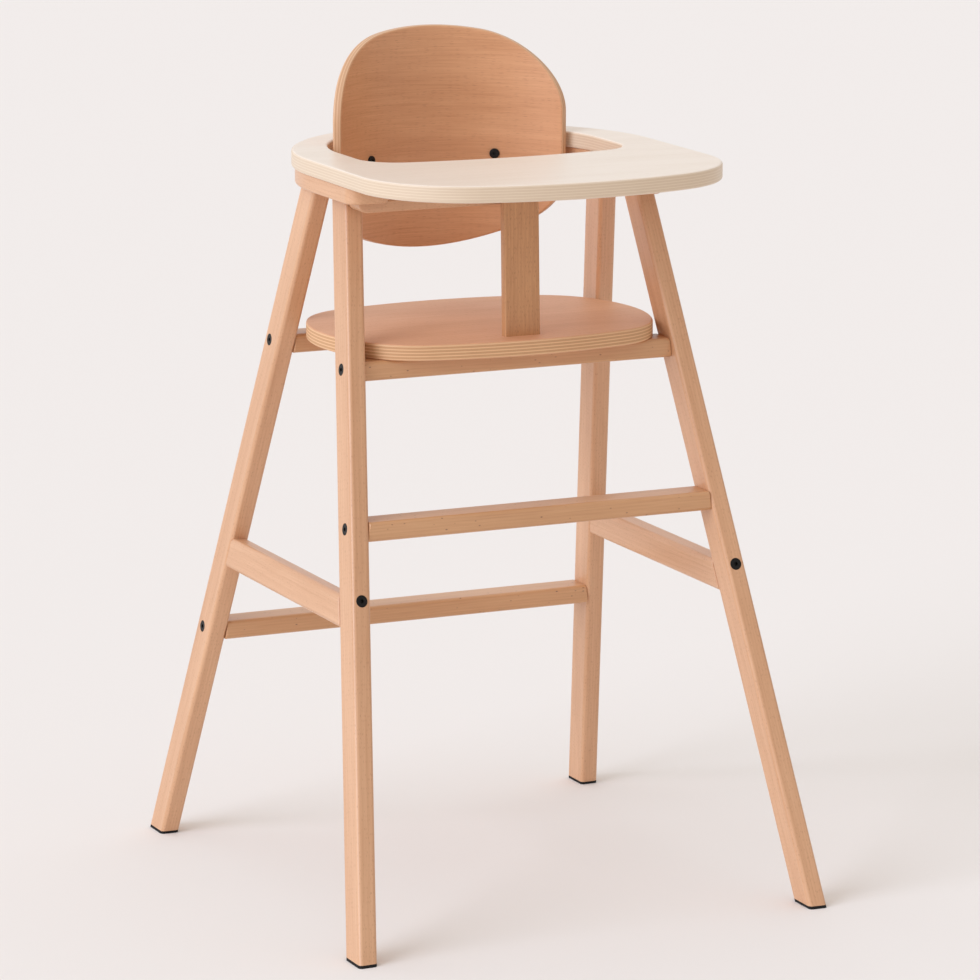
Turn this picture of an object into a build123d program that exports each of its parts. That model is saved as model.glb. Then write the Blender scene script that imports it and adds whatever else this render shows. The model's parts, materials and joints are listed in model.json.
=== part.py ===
"""Baby high chair: beech A-frames, oval seat, curved backrest and a lift-off ring tray.

Frame: millimetres, +Z up, the sitter faces -Y, +X is to the right seen from the front.
The origin is on the floor, midway between the four feet.
"""
import os
from math import asin, cos, degrees, radians, sin, tan

from build123d import *

os.makedirs("parts", exist_ok=True)

# --- Driving dimensions -------------------------------------------------------------
# Timber stock: every leg, rail and stretcher is cut from one bar section.
BAR_WIDE = 35.0
BAR_THICK = 20.0
BAR_EDGE_R = 4.0
END_CHAMFER = 0.8
TRIM_ALLOWANCE = 60.0

# Stance: centre lines of the legs on the floor, and where they meet the arms.
STANCE_X = 504.0
STANCE_Y = 545.0
SIDE_LEAN = 7.0
FRONT_LEG_TOP_Y = -32.0
REAR_LEG_TOP_Y = 46.5
GLIDE_THICK = 3.0

# Heights of the upper structure.
ARM_BOTTOM_Z = 731.5
ARM_THICK = 17.5
TRAY_THICK = 17.0
SEAT_TOP_Z = 587.0
SEAT_THICK = 16.5

# Cross rails between the A-frames: (centre y, centre z, bolt y, dowel y).
RAILS = {
    "seat_front_rail": (-80.5, 560.5, -87.0, -74.5),
    "seat_rear_rail": (99.0, 560.5, 104.0, 91.5),
    "footrest_rail": (-137.5, 408.0, -139.0, -126.5),
    "rear_stretcher": (198.0, 237.5, 201.5, 188.5),
}
# Side stretchers: a narrower, rounder bar, and where its bolts cross the leg centre lines.
STRETCHER_TALL = 32.5
STRETCHER_EDGE_R = 5.0
STRETCHER_BOTTOM_Z = 311.5
STRETCHER_BOLT_Z = 339.0

# Knock-down fittings: M6 socket bolts into barrel nuts, with a dowel beside each.
HEAD_R = 6.2
HEAD_DEEP = 3.0
SOCKET_AF = 4.0
SHANK_R = 3.0
CLEAR_R = 3.3
GRIP_IN_RAIL = 30.0
NUT_R = 5.0
NUT_LONG = 14.0
NUT_INTO_RAIL = 19.0
DOWEL_R = 3.0
DOWEL_IN_LEG = 12.0
DOWEL_IN_RAIL = 18.0
FIT_GAP = 0.05
BORE_SPARE = 1.5
END_PLAY = 0.5
HEAD_CHAMFER = 0.6

# Tray: a closed ring, bowed in front and semicircular behind the backrest.
TRAY_HALF_W = 194.5
TRAY_FRONT_Y = -266.0
TRAY_FRONT_BOW_R = 400.0
TRAY_FRONT_CORNER_R = 114.0
TRAY_REAR_CENTRE_Y = -1.5
TRAY_EDGE_R = 2.5
CUTOUT_HALF_W = 146.0
CUTOUT_FRONT_Y = -74.5
CUTOUT_BOW_R = 700.0
CUTOUT_CORNER_R = 42.0
CUTOUT_REAR_CENTRE_Y = 27.0

# Arms: a horseshoe flush with the tray, jointed to a rear rail behind the backrest.
ARM_OUTER_HALF_W = 190.0
ARM_WIDE = 46.0
ARM_FRONT_Y = -105.0
ARM_END_R = 14.0
ARM_REAR_CENTRE_Y = 1.0
ARM_REAR_CORNER_R = 60.0
ARM_REAR_BAND_Y = 117.0
ARM_EDGE_R = 2.0
RAIL_JOINT_X = 88.0

# Seat: an oval panel.
SEAT_HALF_W = 181.0
SEAT_HALF_D = 132.0
SEAT_FRONT_BOW_R = 450.0
SEAT_SIDE_BOW_R = 165.0
SEAT_CORNER_R = 82.0
SEAT_EDGE_R = 2.0

# Backrest: moulded plywood bent about a vertical axis, hollow towards the sitter.
BACK_R = 150.0
BACK_Y = 136.5
BACK_THICK = 9.0
BACK_HALF_CHORD = 126.0
BACK_TOP_Z = 878.0
BACK_BOTTOM_Z = 643.5
BACK_TOP_BOW_R = 300.0
BACK_TOP_CORNER_R = 86.0
BACK_BOTTOM_BOW_R = 206.0
BACK_BOTTOM_CORNER_R = 60.0
BACK_EDGE_R = 2.2
BACK_BOLT_X = 71.0
BACK_BOLT_Z = 741.0
BACK_HEAD_R = 5.3
BACK_HEAD_DEEP = 2.2
INSERT_R = 4.5
INSERT_LONG = 13.0

# Crotch post and front bar.
POST_WIDE = 39.5
POST_THICK = 10.0
POST_Y = -101.5
POST_RECLINE = 1.8
POST_EDGE_R = 2.0
BAR_HALF_LONG = 171.0
BAR_DEEP = 28.0
BAR_TALL = 12.0
BAR_Y = -70.0
BAR_END_R = 9.0
BAR_LONG_EDGE_R = 1.5

# Small fixings.
WOOD_SCREW_R = 2.0
SCREW_HEAD_R = 4.0
SCREW_HEAD_DEEP = 2.5
SCREW_DRIVE_R = 1.4
SCREW_DRIVE_DEEP = 1.2
SEAT_SCREW_X = 100.0
SEAT_SCREW_LONG = 30.0
POST_SCREW_X = 9.0
POST_SCREW_LONG = 42.0
BAR_SCREW_X = 157.0
BAR_SCREW_HALF_Y = 6.5
BAR_SCREW_LONG = 24.0
PEG_R = 4.0
PEG_IN_ARM = 9.0
PEG_UP = 8.5
PEG_GAP = 0.3
PEG_CHAMFER = 0.9
PEG_YS = (-50.0, 15.0)
POST_PEG_R = 2.5
POST_PEG_IN = 9.0
POST_PEG_X = 10.0
ARM_DOWEL_R = 4.0
ARM_DOWEL_UP = 12.0
ARM_DOWEL_DOWN = 28.0
ARM_DOWEL_SPOTS = [(0, -9), (0, 9)]
RING_DOWEL_Y = 153.5
RING_DOWEL_HALF = 16.0
STRETCHER_DOWEL_DROP = 13.0

# --- Derived places -----------------------------------------------------------------
ARM_TOP_Z = ARM_BOTTOM_Z + ARM_THICK
SEAT_BOTTOM_Z = SEAT_TOP_Z - SEAT_THICK
FRONT_BAR_BOTTOM_Z = ARM_BOTTOM_Z - BAR_TALL
LEAN_COS = cos(radians(SIDE_LEAN))
LEAN_SIN = sin(radians(SIDE_LEAN))
ARM_CENTRE_X = ARM_OUTER_HALF_W - ARM_WIDE / 2
BACK_AXIS_Y = BACK_Y - BACK_R
BACK_BOLT_ANGLE = degrees(asin(BACK_BOLT_X / BACK_R))

# The right A-frame lies in one leaning plane: x runs rearwards, y up the slope.
side_plane = Plane(
    origin=(STANCE_X / 2, 0, 0), x_dir=(0, 1, 0), z_dir=(LEAN_COS, 0, LEAN_SIN)
)
outer_plane = side_plane.offset(BAR_THICK / 2)
inner_plane = side_plane.offset(-BAR_THICK / 2)
leg_feet_and_tops = {
    "front": (-STANCE_Y / 2, FRONT_LEG_TOP_Y),
    "rear": (STANCE_Y / 2, REAR_LEG_TOP_Y),
}


def up_slope(z: float) -> float:
    """Distance up the side plane of a point at height z on it."""
    return z / LEAN_COS


def leg_y(leg: str, slope_height: float) -> float:
    """Rearward place of a leg's centre line at a distance up the side plane."""
    foot, top = leg_feet_and_tops[leg]
    return foot + (top - foot) * slope_height / up_slope(ARM_BOTTOM_Z)


def leg_plane(leg: str, slope_height: float) -> Plane:
    """Plane across a leg on its centre line: z up the leg, x out of the A-frame."""
    foot, top = leg_feet_and_tops[leg]
    here = side_plane.from_local_coords((leg_y(leg, slope_height), slope_height, 0))
    step = side_plane.from_local_coords((top - foot, up_slope(ARM_BOTTOM_Z), 0))
    along = step - side_plane.from_local_coords((0, 0, 0))
    return Plane(origin=here, x_dir=side_plane.z_dir, z_dir=along)


def stretcher_bolt_plane(leg: str) -> Plane:
    """Plane across a side stretcher's bolt where it crosses the leg, z out of the leg."""
    across = leg_plane(leg, up_slope(STRETCHER_BOLT_Z))
    outwards = across.y_dir if across.y_dir.Y * leg_y(leg, 0) > 0 else -across.y_dir
    return Plane(origin=across.origin, x_dir=across.x_dir, z_dir=outwards)


def rail_slope_height(rail: str) -> float:
    """Distance up the side plane of a rail's bolt, centred on the rail at its end."""
    centre_z = RAILS[rail][1]
    return (centre_z + BAR_THICK / 2 * LEAN_SIN) / LEAN_COS


# --- Legs ---------------------------------------------------------------------------
def build_leg(leg: str, rails: list) -> Part:
    """One right-hand leg with its bolt, dowel and arm-dowel holes."""
    with BuildPart() as bar:
        with BuildSketch(leg_plane(leg, -TRIM_ALLOWANCE)):
            RectangleRounded(BAR_THICK, BAR_WIDE, BAR_EDGE_R)
        extrude(amount=up_slope(ARM_BOTTOM_Z) + 3 * TRIM_ALLOWANCE)
        split(bisect_by=Plane.XY.offset(GLIDE_THICK), keep=Keep.TOP)
        split(bisect_by=Plane.XY.offset(ARM_BOTTOM_Z), keep=Keep.BOTTOM)
        for rail in rails:
            bolt_at = (RAILS[rail][2], rail_slope_height(rail))
            dowel_at = (RAILS[rail][3], rail_slope_height(rail))
            with BuildSketch(inner_plane):
                with Locations(bolt_at):
                    Circle(CLEAR_R)
            extrude(amount=BAR_THICK, mode=Mode.SUBTRACT)
            with BuildSketch(outer_plane):
                with Locations(bolt_at):
                    Circle(HEAD_R + FIT_GAP)
            extrude(amount=-HEAD_DEEP, mode=Mode.SUBTRACT)
            with BuildSketch(inner_plane):
                with Locations(dowel_at):
                    Circle(DOWEL_R + FIT_GAP)
            extrude(amount=DOWEL_IN_LEG, mode=Mode.SUBTRACT)
        bolt_plane = stretcher_bolt_plane(leg)
        with BuildSketch(bolt_plane):
            Circle(CLEAR_R)
        extrude(amount=BAR_WIDE, both=True, mode=Mode.SUBTRACT)
        with BuildSketch(bolt_plane.offset(BAR_WIDE / 2)):
            Circle(HEAD_R + FIT_GAP)
        extrude(amount=-HEAD_DEEP, mode=Mode.SUBTRACT)
        with BuildSketch(stretcher_dowel_plane(leg)):
            Circle(DOWEL_R + FIT_GAP)
        extrude(amount=DOWEL_IN_LEG, mode=Mode.SUBTRACT)
        with BuildSketch(leg_plane(leg, up_slope(ARM_BOTTOM_Z)).offset(-ARM_DOWEL_DOWN)):
            with Locations(*ARM_DOWEL_SPOTS):
                Circle(ARM_DOWEL_R + FIT_GAP)
        extrude(amount=ARM_DOWEL_DOWN + ARM_DOWEL_UP, mode=Mode.SUBTRACT)
    return bar.part


def stretcher_dowel_plane(leg: str) -> Plane:
    """Plane on a leg's stretcher face at the locating dowel, z into the leg."""
    bolt_plane = stretcher_bolt_plane(leg)
    face = bolt_plane.offset(-BAR_WIDE / 2)
    along_leg = leg_plane(leg, 0).z_dir
    spot = face.origin - along_leg * STRETCHER_DOWEL_DROP
    return Plane(origin=spot, x_dir=face.x_dir, z_dir=face.z_dir)


FRONT_LEG_RAILS = ["seat_front_rail", "footrest_rail"]
REAR_LEG_RAILS = ["seat_rear_rail", "rear_stretcher"]

with BuildPart() as front_leg_right:
    add(build_leg("front", FRONT_LEG_RAILS))

with BuildPart() as rear_leg_right:
    add(build_leg("rear", REAR_LEG_RAILS))

with BuildPart() as front_leg_left:
    mirror(front_leg_right.part, about=Plane.YZ)

with BuildPart() as rear_leg_left:
    mirror(rear_leg_right.part, about=Plane.YZ)

# Thin glides under the feet share the legs' footprint.
with BuildPart() as floor_glides:
    for end in leg_feet_and_tops:
        with BuildSketch(leg_plane(end, -TRIM_ALLOWANCE)):
            RectangleRounded(BAR_THICK, BAR_WIDE, BAR_EDGE_R)
        extrude(amount=2 * TRIM_ALLOWANCE)
    split(bisect_by=Plane.XY, keep=Keep.TOP)
    split(bisect_by=Plane.XY.offset(GLIDE_THICK), keep=Keep.BOTTOM)
    mirror(about=Plane.YZ)


# --- Cross rails --------------------------------------------------------------------
def build_rail(rail: str) -> Part:
    """A cross rail lying flat, its ends cut to the legs' inner faces."""
    centre_y, centre_z, bolt_y, dowel_y = RAILS[rail]
    height = rail_slope_height(rail)
    with BuildPart() as bar:
        with BuildSketch(Plane.YZ):
            with Locations((centre_y, centre_z)):
                RectangleRounded(BAR_WIDE, BAR_THICK, BAR_EDGE_R)
        extrude(amount=STANCE_X / 2)
        split(bisect_by=inner_plane, keep=Keep.BOTTOM)
        chamfer(bar.faces().sort_by(Axis.X)[-1].edges(), END_CHAMFER)
        with BuildSketch(inner_plane):
            with Locations((bolt_y, height)):
                Circle(CLEAR_R)
        extrude(amount=-(GRIP_IN_RAIL + BORE_SPARE), mode=Mode.SUBTRACT)
        with BuildSketch(inner_plane):
            with Locations((dowel_y, height)):
                Circle(DOWEL_R + FIT_GAP)
        extrude(amount=-DOWEL_IN_RAIL, mode=Mode.SUBTRACT)
        with BuildSketch(rail_nut_plane(rail)):
            Circle(NUT_R + FIT_GAP)
        extrude(amount=-NUT_LONG / 2, mode=Mode.SUBTRACT)
        with BuildSketch(rail_nut_plane(rail)):
            Circle(NUT_R + FIT_GAP)
        extrude(amount=BAR_THICK, mode=Mode.SUBTRACT)
        mirror(about=Plane.YZ)
    return bar.part


def rail_nut_plane(rail: str) -> Plane:
    """Plane through the middle of a rail's barrel nut, z down out of its hole."""
    spot = side_plane.from_local_coords(
        (RAILS[rail][2], rail_slope_height(rail), -BAR_THICK / 2 - NUT_INTO_RAIL)
    )
    return Plane(origin=spot, x_dir=side_plane.z_dir, z_dir=-side_plane.y_dir)


seat_screw_spots = [
    (side * SEAT_SCREW_X, RAILS[rail][0])
    for rail in ("seat_front_rail", "seat_rear_rail")
    for side in (-1, 1)
]
SEAT_RAIL_BOTTOM_Z = SEAT_BOTTOM_Z - BAR_THICK

with BuildPart() as seat_front_rail:
    add(build_rail("seat_front_rail"))
    with BuildSketch(Plane.XY.offset(SEAT_RAIL_BOTTOM_Z)):
        with Locations(*seat_screw_spots[:2]):
            Circle(WOOD_SCREW_R + FIT_GAP)
    extrude(amount=BAR_THICK, mode=Mode.SUBTRACT)
    with BuildSketch(Plane.XY.offset(SEAT_RAIL_BOTTOM_Z)):
        with Locations(*seat_screw_spots[:2]):
            Circle(SCREW_HEAD_R + FIT_GAP)
    extrude(amount=SCREW_HEAD_DEEP, mode=Mode.SUBTRACT)

with BuildPart() as seat_rear_rail:
    add(build_rail("seat_rear_rail"))
    with BuildSketch(Plane.XY.offset(SEAT_RAIL_BOTTOM_Z)):
        with Locations(*seat_screw_spots[2:]):
            Circle(WOOD_SCREW_R + FIT_GAP)
    extrude(amount=BAR_THICK, mode=Mode.SUBTRACT)
    with BuildSketch(Plane.XY.offset(SEAT_RAIL_BOTTOM_Z)):
        with Locations(*seat_screw_spots[2:]):
            Circle(SCREW_HEAD_R + FIT_GAP)
    extrude(amount=SCREW_HEAD_DEEP, mode=Mode.SUBTRACT)

with BuildPart() as footrest_rail:
    add(build_rail("footrest_rail"))

with BuildPart() as rear_stretcher:
    add(build_rail("rear_stretcher"))


# --- Side stretchers ----------------------------------------------------------------
def stretcher_end(leg: str, slope_height: float) -> tuple:
    """Point on a leg's inner edge line where a side stretcher butts against it."""
    foot, top = leg_feet_and_tops[leg]
    rise = up_slope(ARM_BOTTOM_Z)
    half_level = BAR_WIDE / 2 * ((top - foot) ** 2 + rise**2) ** 0.5 / rise
    towards_middle = half_level if foot < 0 else -half_level
    return (leg_y(leg, slope_height) + towards_middle, slope_height)


stretcher_low = up_slope(STRETCHER_BOTTOM_Z)
stretcher_high = stretcher_low + STRETCHER_TALL

with BuildPart() as side_stretcher_right:
    with BuildSketch(side_plane):
        with BuildLine():
            Polyline(
                stretcher_end("front", stretcher_low),
                stretcher_end("rear", stretcher_low),
                stretcher_end("rear", stretcher_high),
                stretcher_end("front", stretcher_high),
                close=True,
            )
        make_face()
    extrude(amount=BAR_THICK / 2, both=True)
    fillet(side_stretcher_right.edges().filter_by(Axis.Y), STRETCHER_EDGE_R)
    end_faces = side_stretcher_right.faces().sort_by(Axis.Y)
    chamfer(end_faces[0].edges() + end_faces[-1].edges(), END_CHAMFER)
    for leg in leg_feet_and_tops:
        bolt_plane = stretcher_bolt_plane(leg)
        with BuildSketch(bolt_plane.offset(-BAR_WIDE / 2 + BORE_SPARE)):
            Circle(CLEAR_R)
        extrude(amount=-(GRIP_IN_RAIL + 2 * BORE_SPARE), mode=Mode.SUBTRACT)
        with BuildSketch(stretcher_dowel_plane(leg).offset(BORE_SPARE)):
            Circle(DOWEL_R + FIT_GAP)
        extrude(amount=-(DOWEL_IN_RAIL + BORE_SPARE), mode=Mode.SUBTRACT)
        nut_spot = bolt_plane.offset(-BAR_WIDE / 2 - NUT_INTO_RAIL).origin
        up_leg = leg_plane(leg, 0).z_dir
        nut_plane = Plane(origin=nut_spot + up_leg * NUT_LONG / 2, x_dir=bolt_plane.x_dir, z_dir=-up_leg)
        with BuildSketch(nut_plane):
            Circle(NUT_R + FIT_GAP)
        extrude(amount=NUT_LONG + BAR_WIDE, mode=Mode.SUBTRACT)

with BuildPart() as side_stretcher_left:
    mirror(side_stretcher_right.part, about=Plane.YZ)

# --- Arms and rear top rail ---------------------------------------------------------
# One horseshoe outline, divided at the two joints with the rear rail.
arm_inner_x = ARM_OUTER_HALF_W - ARM_WIDE
arm_corner_y = ARM_REAR_BAND_Y - ARM_REAR_CORNER_R
arm_end_y = ARM_FRONT_Y + ARM_WIDE / 2

with BuildPart() as arm_ring:
    with BuildSketch(Plane.XY.offset(ARM_BOTTOM_Z)) as arm_plan:
        with Locations((0, ARM_REAR_CENTRE_Y)):
            Circle(ARM_OUTER_HALF_W)
        with Locations((0, (ARM_REAR_CENTRE_Y + arm_end_y) / 2)):
            Rectangle(2 * ARM_OUTER_HALF_W, ARM_REAR_CENTRE_Y - arm_end_y)
        with Locations((0, arm_end_y - ARM_OUTER_HALF_W / 2)):
            Rectangle(2 * ARM_OUTER_HALF_W, ARM_OUTER_HALF_W, mode=Mode.SUBTRACT)
        with Locations((0, (arm_end_y + ARM_REAR_BAND_Y) / 2)):
            RectangleRounded(
                2 * arm_inner_x,
                ARM_REAR_BAND_Y - arm_end_y,
                ARM_REAR_CORNER_R,
                mode=Mode.SUBTRACT,
            )
        with Locations((0, arm_end_y)):
            Rectangle(2 * arm_inner_x, 2 * ARM_REAR_CORNER_R + 10, mode=Mode.SUBTRACT)
        with Locations((ARM_CENTRE_X, arm_end_y), (-ARM_CENTRE_X, arm_end_y)):
            RectangleRounded(ARM_WIDE, ARM_WIDE, ARM_END_R)
    extrude(amount=ARM_THICK)
    with BuildSketch(Plane.XY.offset(ARM_BOTTOM_Z)):
        with Locations((0, BACK_AXIS_Y)):
            Circle(BACK_R + BACK_THICK + 2 * FIT_GAP)
        with Locations((0, arm_corner_y - BACK_R)):
            Rectangle(3 * BACK_R, 2 * BACK_R, mode=Mode.SUBTRACT)
    extrude(amount=ARM_THICK, mode=Mode.SUBTRACT)
    arm_rims = arm_ring.edges().filter_by(Axis.Z, reverse=True)
    fillet(arm_rims, ARM_EDGE_R)

peg_spots = [(ARM_CENTRE_X, y) for y in PEG_YS]
bar_screw_spots = [(BAR_SCREW_X, BAR_Y + offset) for offset in (-BAR_SCREW_HALF_Y, BAR_SCREW_HALF_Y)]
RING_DOWEL_SPOT = (RING_DOWEL_Y, ARM_THICK / 2)
ring_joint_plane = Plane(origin=(RAIL_JOINT_X, 0, ARM_BOTTOM_Z), x_dir=(0, 1, 0), z_dir=(1, 0, 0))

with BuildPart() as right_arm:
    add(arm_ring.part)
    split(bisect_by=Plane.YZ.offset(RAIL_JOINT_X), keep=Keep.TOP)
    for end in leg_feet_and_tops:
        with BuildSketch(leg_plane(end, up_slope(ARM_BOTTOM_Z)).offset(-ARM_DOWEL_UP)):
            with Locations(*ARM_DOWEL_SPOTS):
                Circle(ARM_DOWEL_R + FIT_GAP)
        extrude(amount=2 * ARM_DOWEL_UP, mode=Mode.SUBTRACT)
    with BuildSketch(Plane.XY.offset(ARM_TOP_Z)):
        with Locations(*peg_spots):
            Circle(PEG_R + FIT_GAP)
    extrude(amount=-PEG_IN_ARM, mode=Mode.SUBTRACT)
    with BuildSketch(Plane.XY.offset(ARM_BOTTOM_Z)):
        with Locations(*bar_screw_spots):
            Circle(WOOD_SCREW_R + FIT_GAP)
    extrude(amount=BAR_SCREW_LONG - BAR_TALL, mode=Mode.SUBTRACT)
    with BuildSketch(ring_joint_plane):
        with Locations(RING_DOWEL_SPOT):
            Circle(ARM_DOWEL_R + FIT_GAP)
    extrude(amount=RING_DOWEL_HALF, mode=Mode.SUBTRACT)

with BuildPart() as left_arm:
    mirror(right_arm.part, about=Plane.YZ)


def back_bolt_plane(side: int) -> Plane:
    """Plane on the backrest's hollow face at a bolt, z towards the sitter."""
    angle = radians(BACK_BOLT_ANGLE) * side
    outwards = Vector(sin(angle), cos(angle), 0)
    spot = Vector(0, BACK_AXIS_Y, BACK_BOLT_Z) + outwards * BACK_R
    return Plane(origin=spot, x_dir=(0, 0, 1), z_dir=-outwards)


with BuildPart() as rear_top_rail:
    add(arm_ring.part)
    split(bisect_by=Plane.YZ.offset(RAIL_JOINT_X), keep=Keep.BOTTOM)
    split(bisect_by=Plane.YZ.offset(-RAIL_JOINT_X), keep=Keep.TOP)
    for side in (-1, 1):
        with BuildSketch(back_bolt_plane(side).offset(-BACK_THICK)):
            Circle(INSERT_R + FIT_GAP)
        extrude(amount=-(INSERT_LONG + BORE_SPARE), mode=Mode.SUBTRACT)
        with BuildSketch(back_bolt_plane(side).offset(-BACK_THICK)):
            Circle(CLEAR_R)
        extrude(amount=-(GRIP_IN_RAIL - 2), mode=Mode.SUBTRACT)
    with BuildSketch(ring_joint_plane):
        with Locations(RING_DOWEL_SPOT):
            Circle(ARM_DOWEL_R + FIT_GAP)
    extrude(amount=-RING_DOWEL_HALF, mode=Mode.SUBTRACT)
    with BuildSketch(Plane(origin=(-RAIL_JOINT_X, 0, ARM_BOTTOM_Z), x_dir=(0, 1, 0), z_dir=(1, 0, 0))):
        with Locations(RING_DOWEL_SPOT):
            Circle(ARM_DOWEL_R + FIT_GAP)
    extrude(amount=RING_DOWEL_HALF, mode=Mode.SUBTRACT)

# --- Front bar ----------------------------------------------------------------------
with BuildPart() as front_bar:
    with BuildSketch(Plane.XZ.offset(-BAR_Y - BAR_DEEP / 2)) as bar_elevation:
        with Locations((0, ARM_BOTTOM_Z - BAR_TALL / 2)):
            Rectangle(2 * BAR_HALF_LONG, BAR_TALL)
        lower_corners = bar_elevation.vertices().group_by(Axis.Y)[0]
        fillet(lower_corners, BAR_END_R)
    extrude(amount=BAR_DEEP)
    long_rims = front_bar.edges().group_by(Axis.Y)
    fillet(long_rims[0] + long_rims[-1], BAR_LONG_EDGE_R)
    with BuildSketch(Plane.XY.offset(ARM_BOTTOM_Z)):
        with Locations(*bar_screw_spots):
            Circle(WOOD_SCREW_R + FIT_GAP)
        mirror(about=Plane.YZ)
    extrude(amount=-BAR_TALL, mode=Mode.SUBTRACT)
    with BuildSketch(Plane.XY.offset(FRONT_BAR_BOTTOM_Z)):
        with Locations(*bar_screw_spots):
            Circle(SCREW_HEAD_R + FIT_GAP)
        mirror(about=Plane.YZ)
    extrude(amount=SCREW_HEAD_DEEP, mode=Mode.SUBTRACT)

# --- Seat ---------------------------------------------------------------------------
post_screw_spots = [(-POST_SCREW_X, POST_Y), (POST_SCREW_X, POST_Y)]

with BuildPart() as seat_panel:
    with BuildSketch(Plane.XY.offset(SEAT_BOTTOM_Z)) as seat_plan:
        SlotCenterToCenter(2 * (SEAT_HALF_W - SEAT_SIDE_BOW_R), 2 * SEAT_SIDE_BOW_R)
        with Locations((0, SEAT_FRONT_BOW_R - SEAT_HALF_D)):
            Circle(SEAT_FRONT_BOW_R, mode=Mode.INTERSECT)
        with Locations((0, SEAT_HALF_D - SEAT_FRONT_BOW_R)):
            Circle(SEAT_FRONT_BOW_R, mode=Mode.INTERSECT)
        fillet(seat_plan.vertices(), SEAT_CORNER_R)
    extrude(amount=SEAT_THICK)
    fillet(seat_panel.edges().filter_by(Axis.Z, reverse=True), SEAT_EDGE_R)
    with BuildSketch(Plane.XY.offset(SEAT_BOTTOM_Z)):
        with Locations(*seat_screw_spots):
            Circle(WOOD_SCREW_R + FIT_GAP)
    extrude(amount=SEAT_SCREW_LONG - BAR_THICK, mode=Mode.SUBTRACT)
    with BuildSketch(Plane.XY.offset(SEAT_BOTTOM_Z)):
        with Locations(*post_screw_spots):
            Circle(WOOD_SCREW_R + FIT_GAP)
    extrude(amount=SEAT_THICK, mode=Mode.SUBTRACT)
    with BuildSketch(Plane.XY.offset(SEAT_BOTTOM_Z)):
        with Locations(*post_screw_spots):
            Circle(SCREW_HEAD_R + FIT_GAP)
    extrude(amount=SCREW_HEAD_DEEP, mode=Mode.SUBTRACT)

# --- Crotch post --------------------------------------------------------------------
POST_TOP_Y = POST_Y + (ARM_TOP_Z - SEAT_TOP_Z) * tan(radians(POST_RECLINE))
post_peg_spots = [(-POST_PEG_X, POST_TOP_Y), (POST_PEG_X, POST_TOP_Y)]
post_plane = Plane(
    origin=(0, POST_Y, SEAT_TOP_Z), x_dir=(1, 0, 0), z_dir=(0, tan(radians(POST_RECLINE)), 1)
)

with BuildPart() as crotch_post:
    with BuildSketch(post_plane.offset(-POST_THICK)):
        RectangleRounded(POST_WIDE, POST_THICK, POST_EDGE_R)
    extrude(amount=ARM_TOP_Z - SEAT_TOP_Z + 2 * POST_THICK)
    split(bisect_by=Plane.XY.offset(SEAT_TOP_Z), keep=Keep.TOP)
    split(bisect_by=Plane.XY.offset(ARM_TOP_Z), keep=Keep.BOTTOM)
    with BuildSketch(Plane.XY.offset(SEAT_TOP_Z)):
        with Locations(*post_screw_spots):
            Circle(WOOD_SCREW_R + FIT_GAP)
    extrude(amount=POST_SCREW_LONG - SEAT_THICK, mode=Mode.SUBTRACT)
    with BuildSketch(Plane.XY.offset(ARM_TOP_Z)):
        with Locations(*post_peg_spots):
            Circle(POST_PEG_R + FIT_GAP)
    extrude(amount=-POST_PEG_IN, mode=Mode.SUBTRACT)

# --- Backrest -----------------------------------------------------------------------
# The hollow face is a patch of a cylinder, trimmed by the outline seen from the front;
# thickening it keeps the edge square to the bent sheet all round.
with BuildPart() as back_form:
    with BuildSketch(Plane.XY.offset(BACK_BOTTOM_Z - TRIM_ALLOWANCE)):
        with Locations((0, BACK_AXIS_Y)):
            Circle(BACK_R)
    extrude(amount=BACK_TOP_Z - BACK_BOTTOM_Z + 2 * TRIM_ALLOWANCE)
    with BuildSketch(Plane.XZ.offset(-BACK_AXIS_Y)) as back_outline:
        with Locations((0, (BACK_TOP_Z + BACK_BOTTOM_Z) / 2)):
            Rectangle(2 * BACK_HALF_CHORD, BACK_TOP_Z - BACK_BOTTOM_Z)
        with Locations((0, BACK_TOP_Z - BACK_TOP_BOW_R)):
            Circle(BACK_TOP_BOW_R, mode=Mode.INTERSECT)
        with Locations((0, BACK_BOTTOM_Z + BACK_BOTTOM_BOW_R)):
            Circle(BACK_BOTTOM_BOW_R, mode=Mode.INTERSECT)
        fillet(back_outline.vertices().group_by(Axis.Y)[-1], BACK_TOP_CORNER_R)
        fillet(back_outline.vertices().group_by(Axis.Y)[0], BACK_BOTTOM_CORNER_R)
    extrude(amount=-2 * BACK_R, mode=Mode.INTERSECT)

hollow_face = back_form.faces().filter_by(GeomType.CYLINDER).sort_by(SortBy.AREA)[-1]

with BuildPart() as backrest:
    thicken(hollow_face, amount=BACK_THICK)
    outline_edges = backrest.edges().filter_by(lambda edge: edge.length > BACK_THICK + FIT_GAP)
    fillet(outline_edges, BACK_EDGE_R)
    for side in (-1, 1):
        with BuildSketch(back_bolt_plane(side).offset(BACK_THICK)):
            Circle(CLEAR_R)
        extrude(amount=-3 * BACK_THICK, mode=Mode.SUBTRACT)

# --- Tray ---------------------------------------------------------------------------
cutout_rear_y = CUTOUT_REAR_CENTRE_Y + CUTOUT_HALF_W

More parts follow.
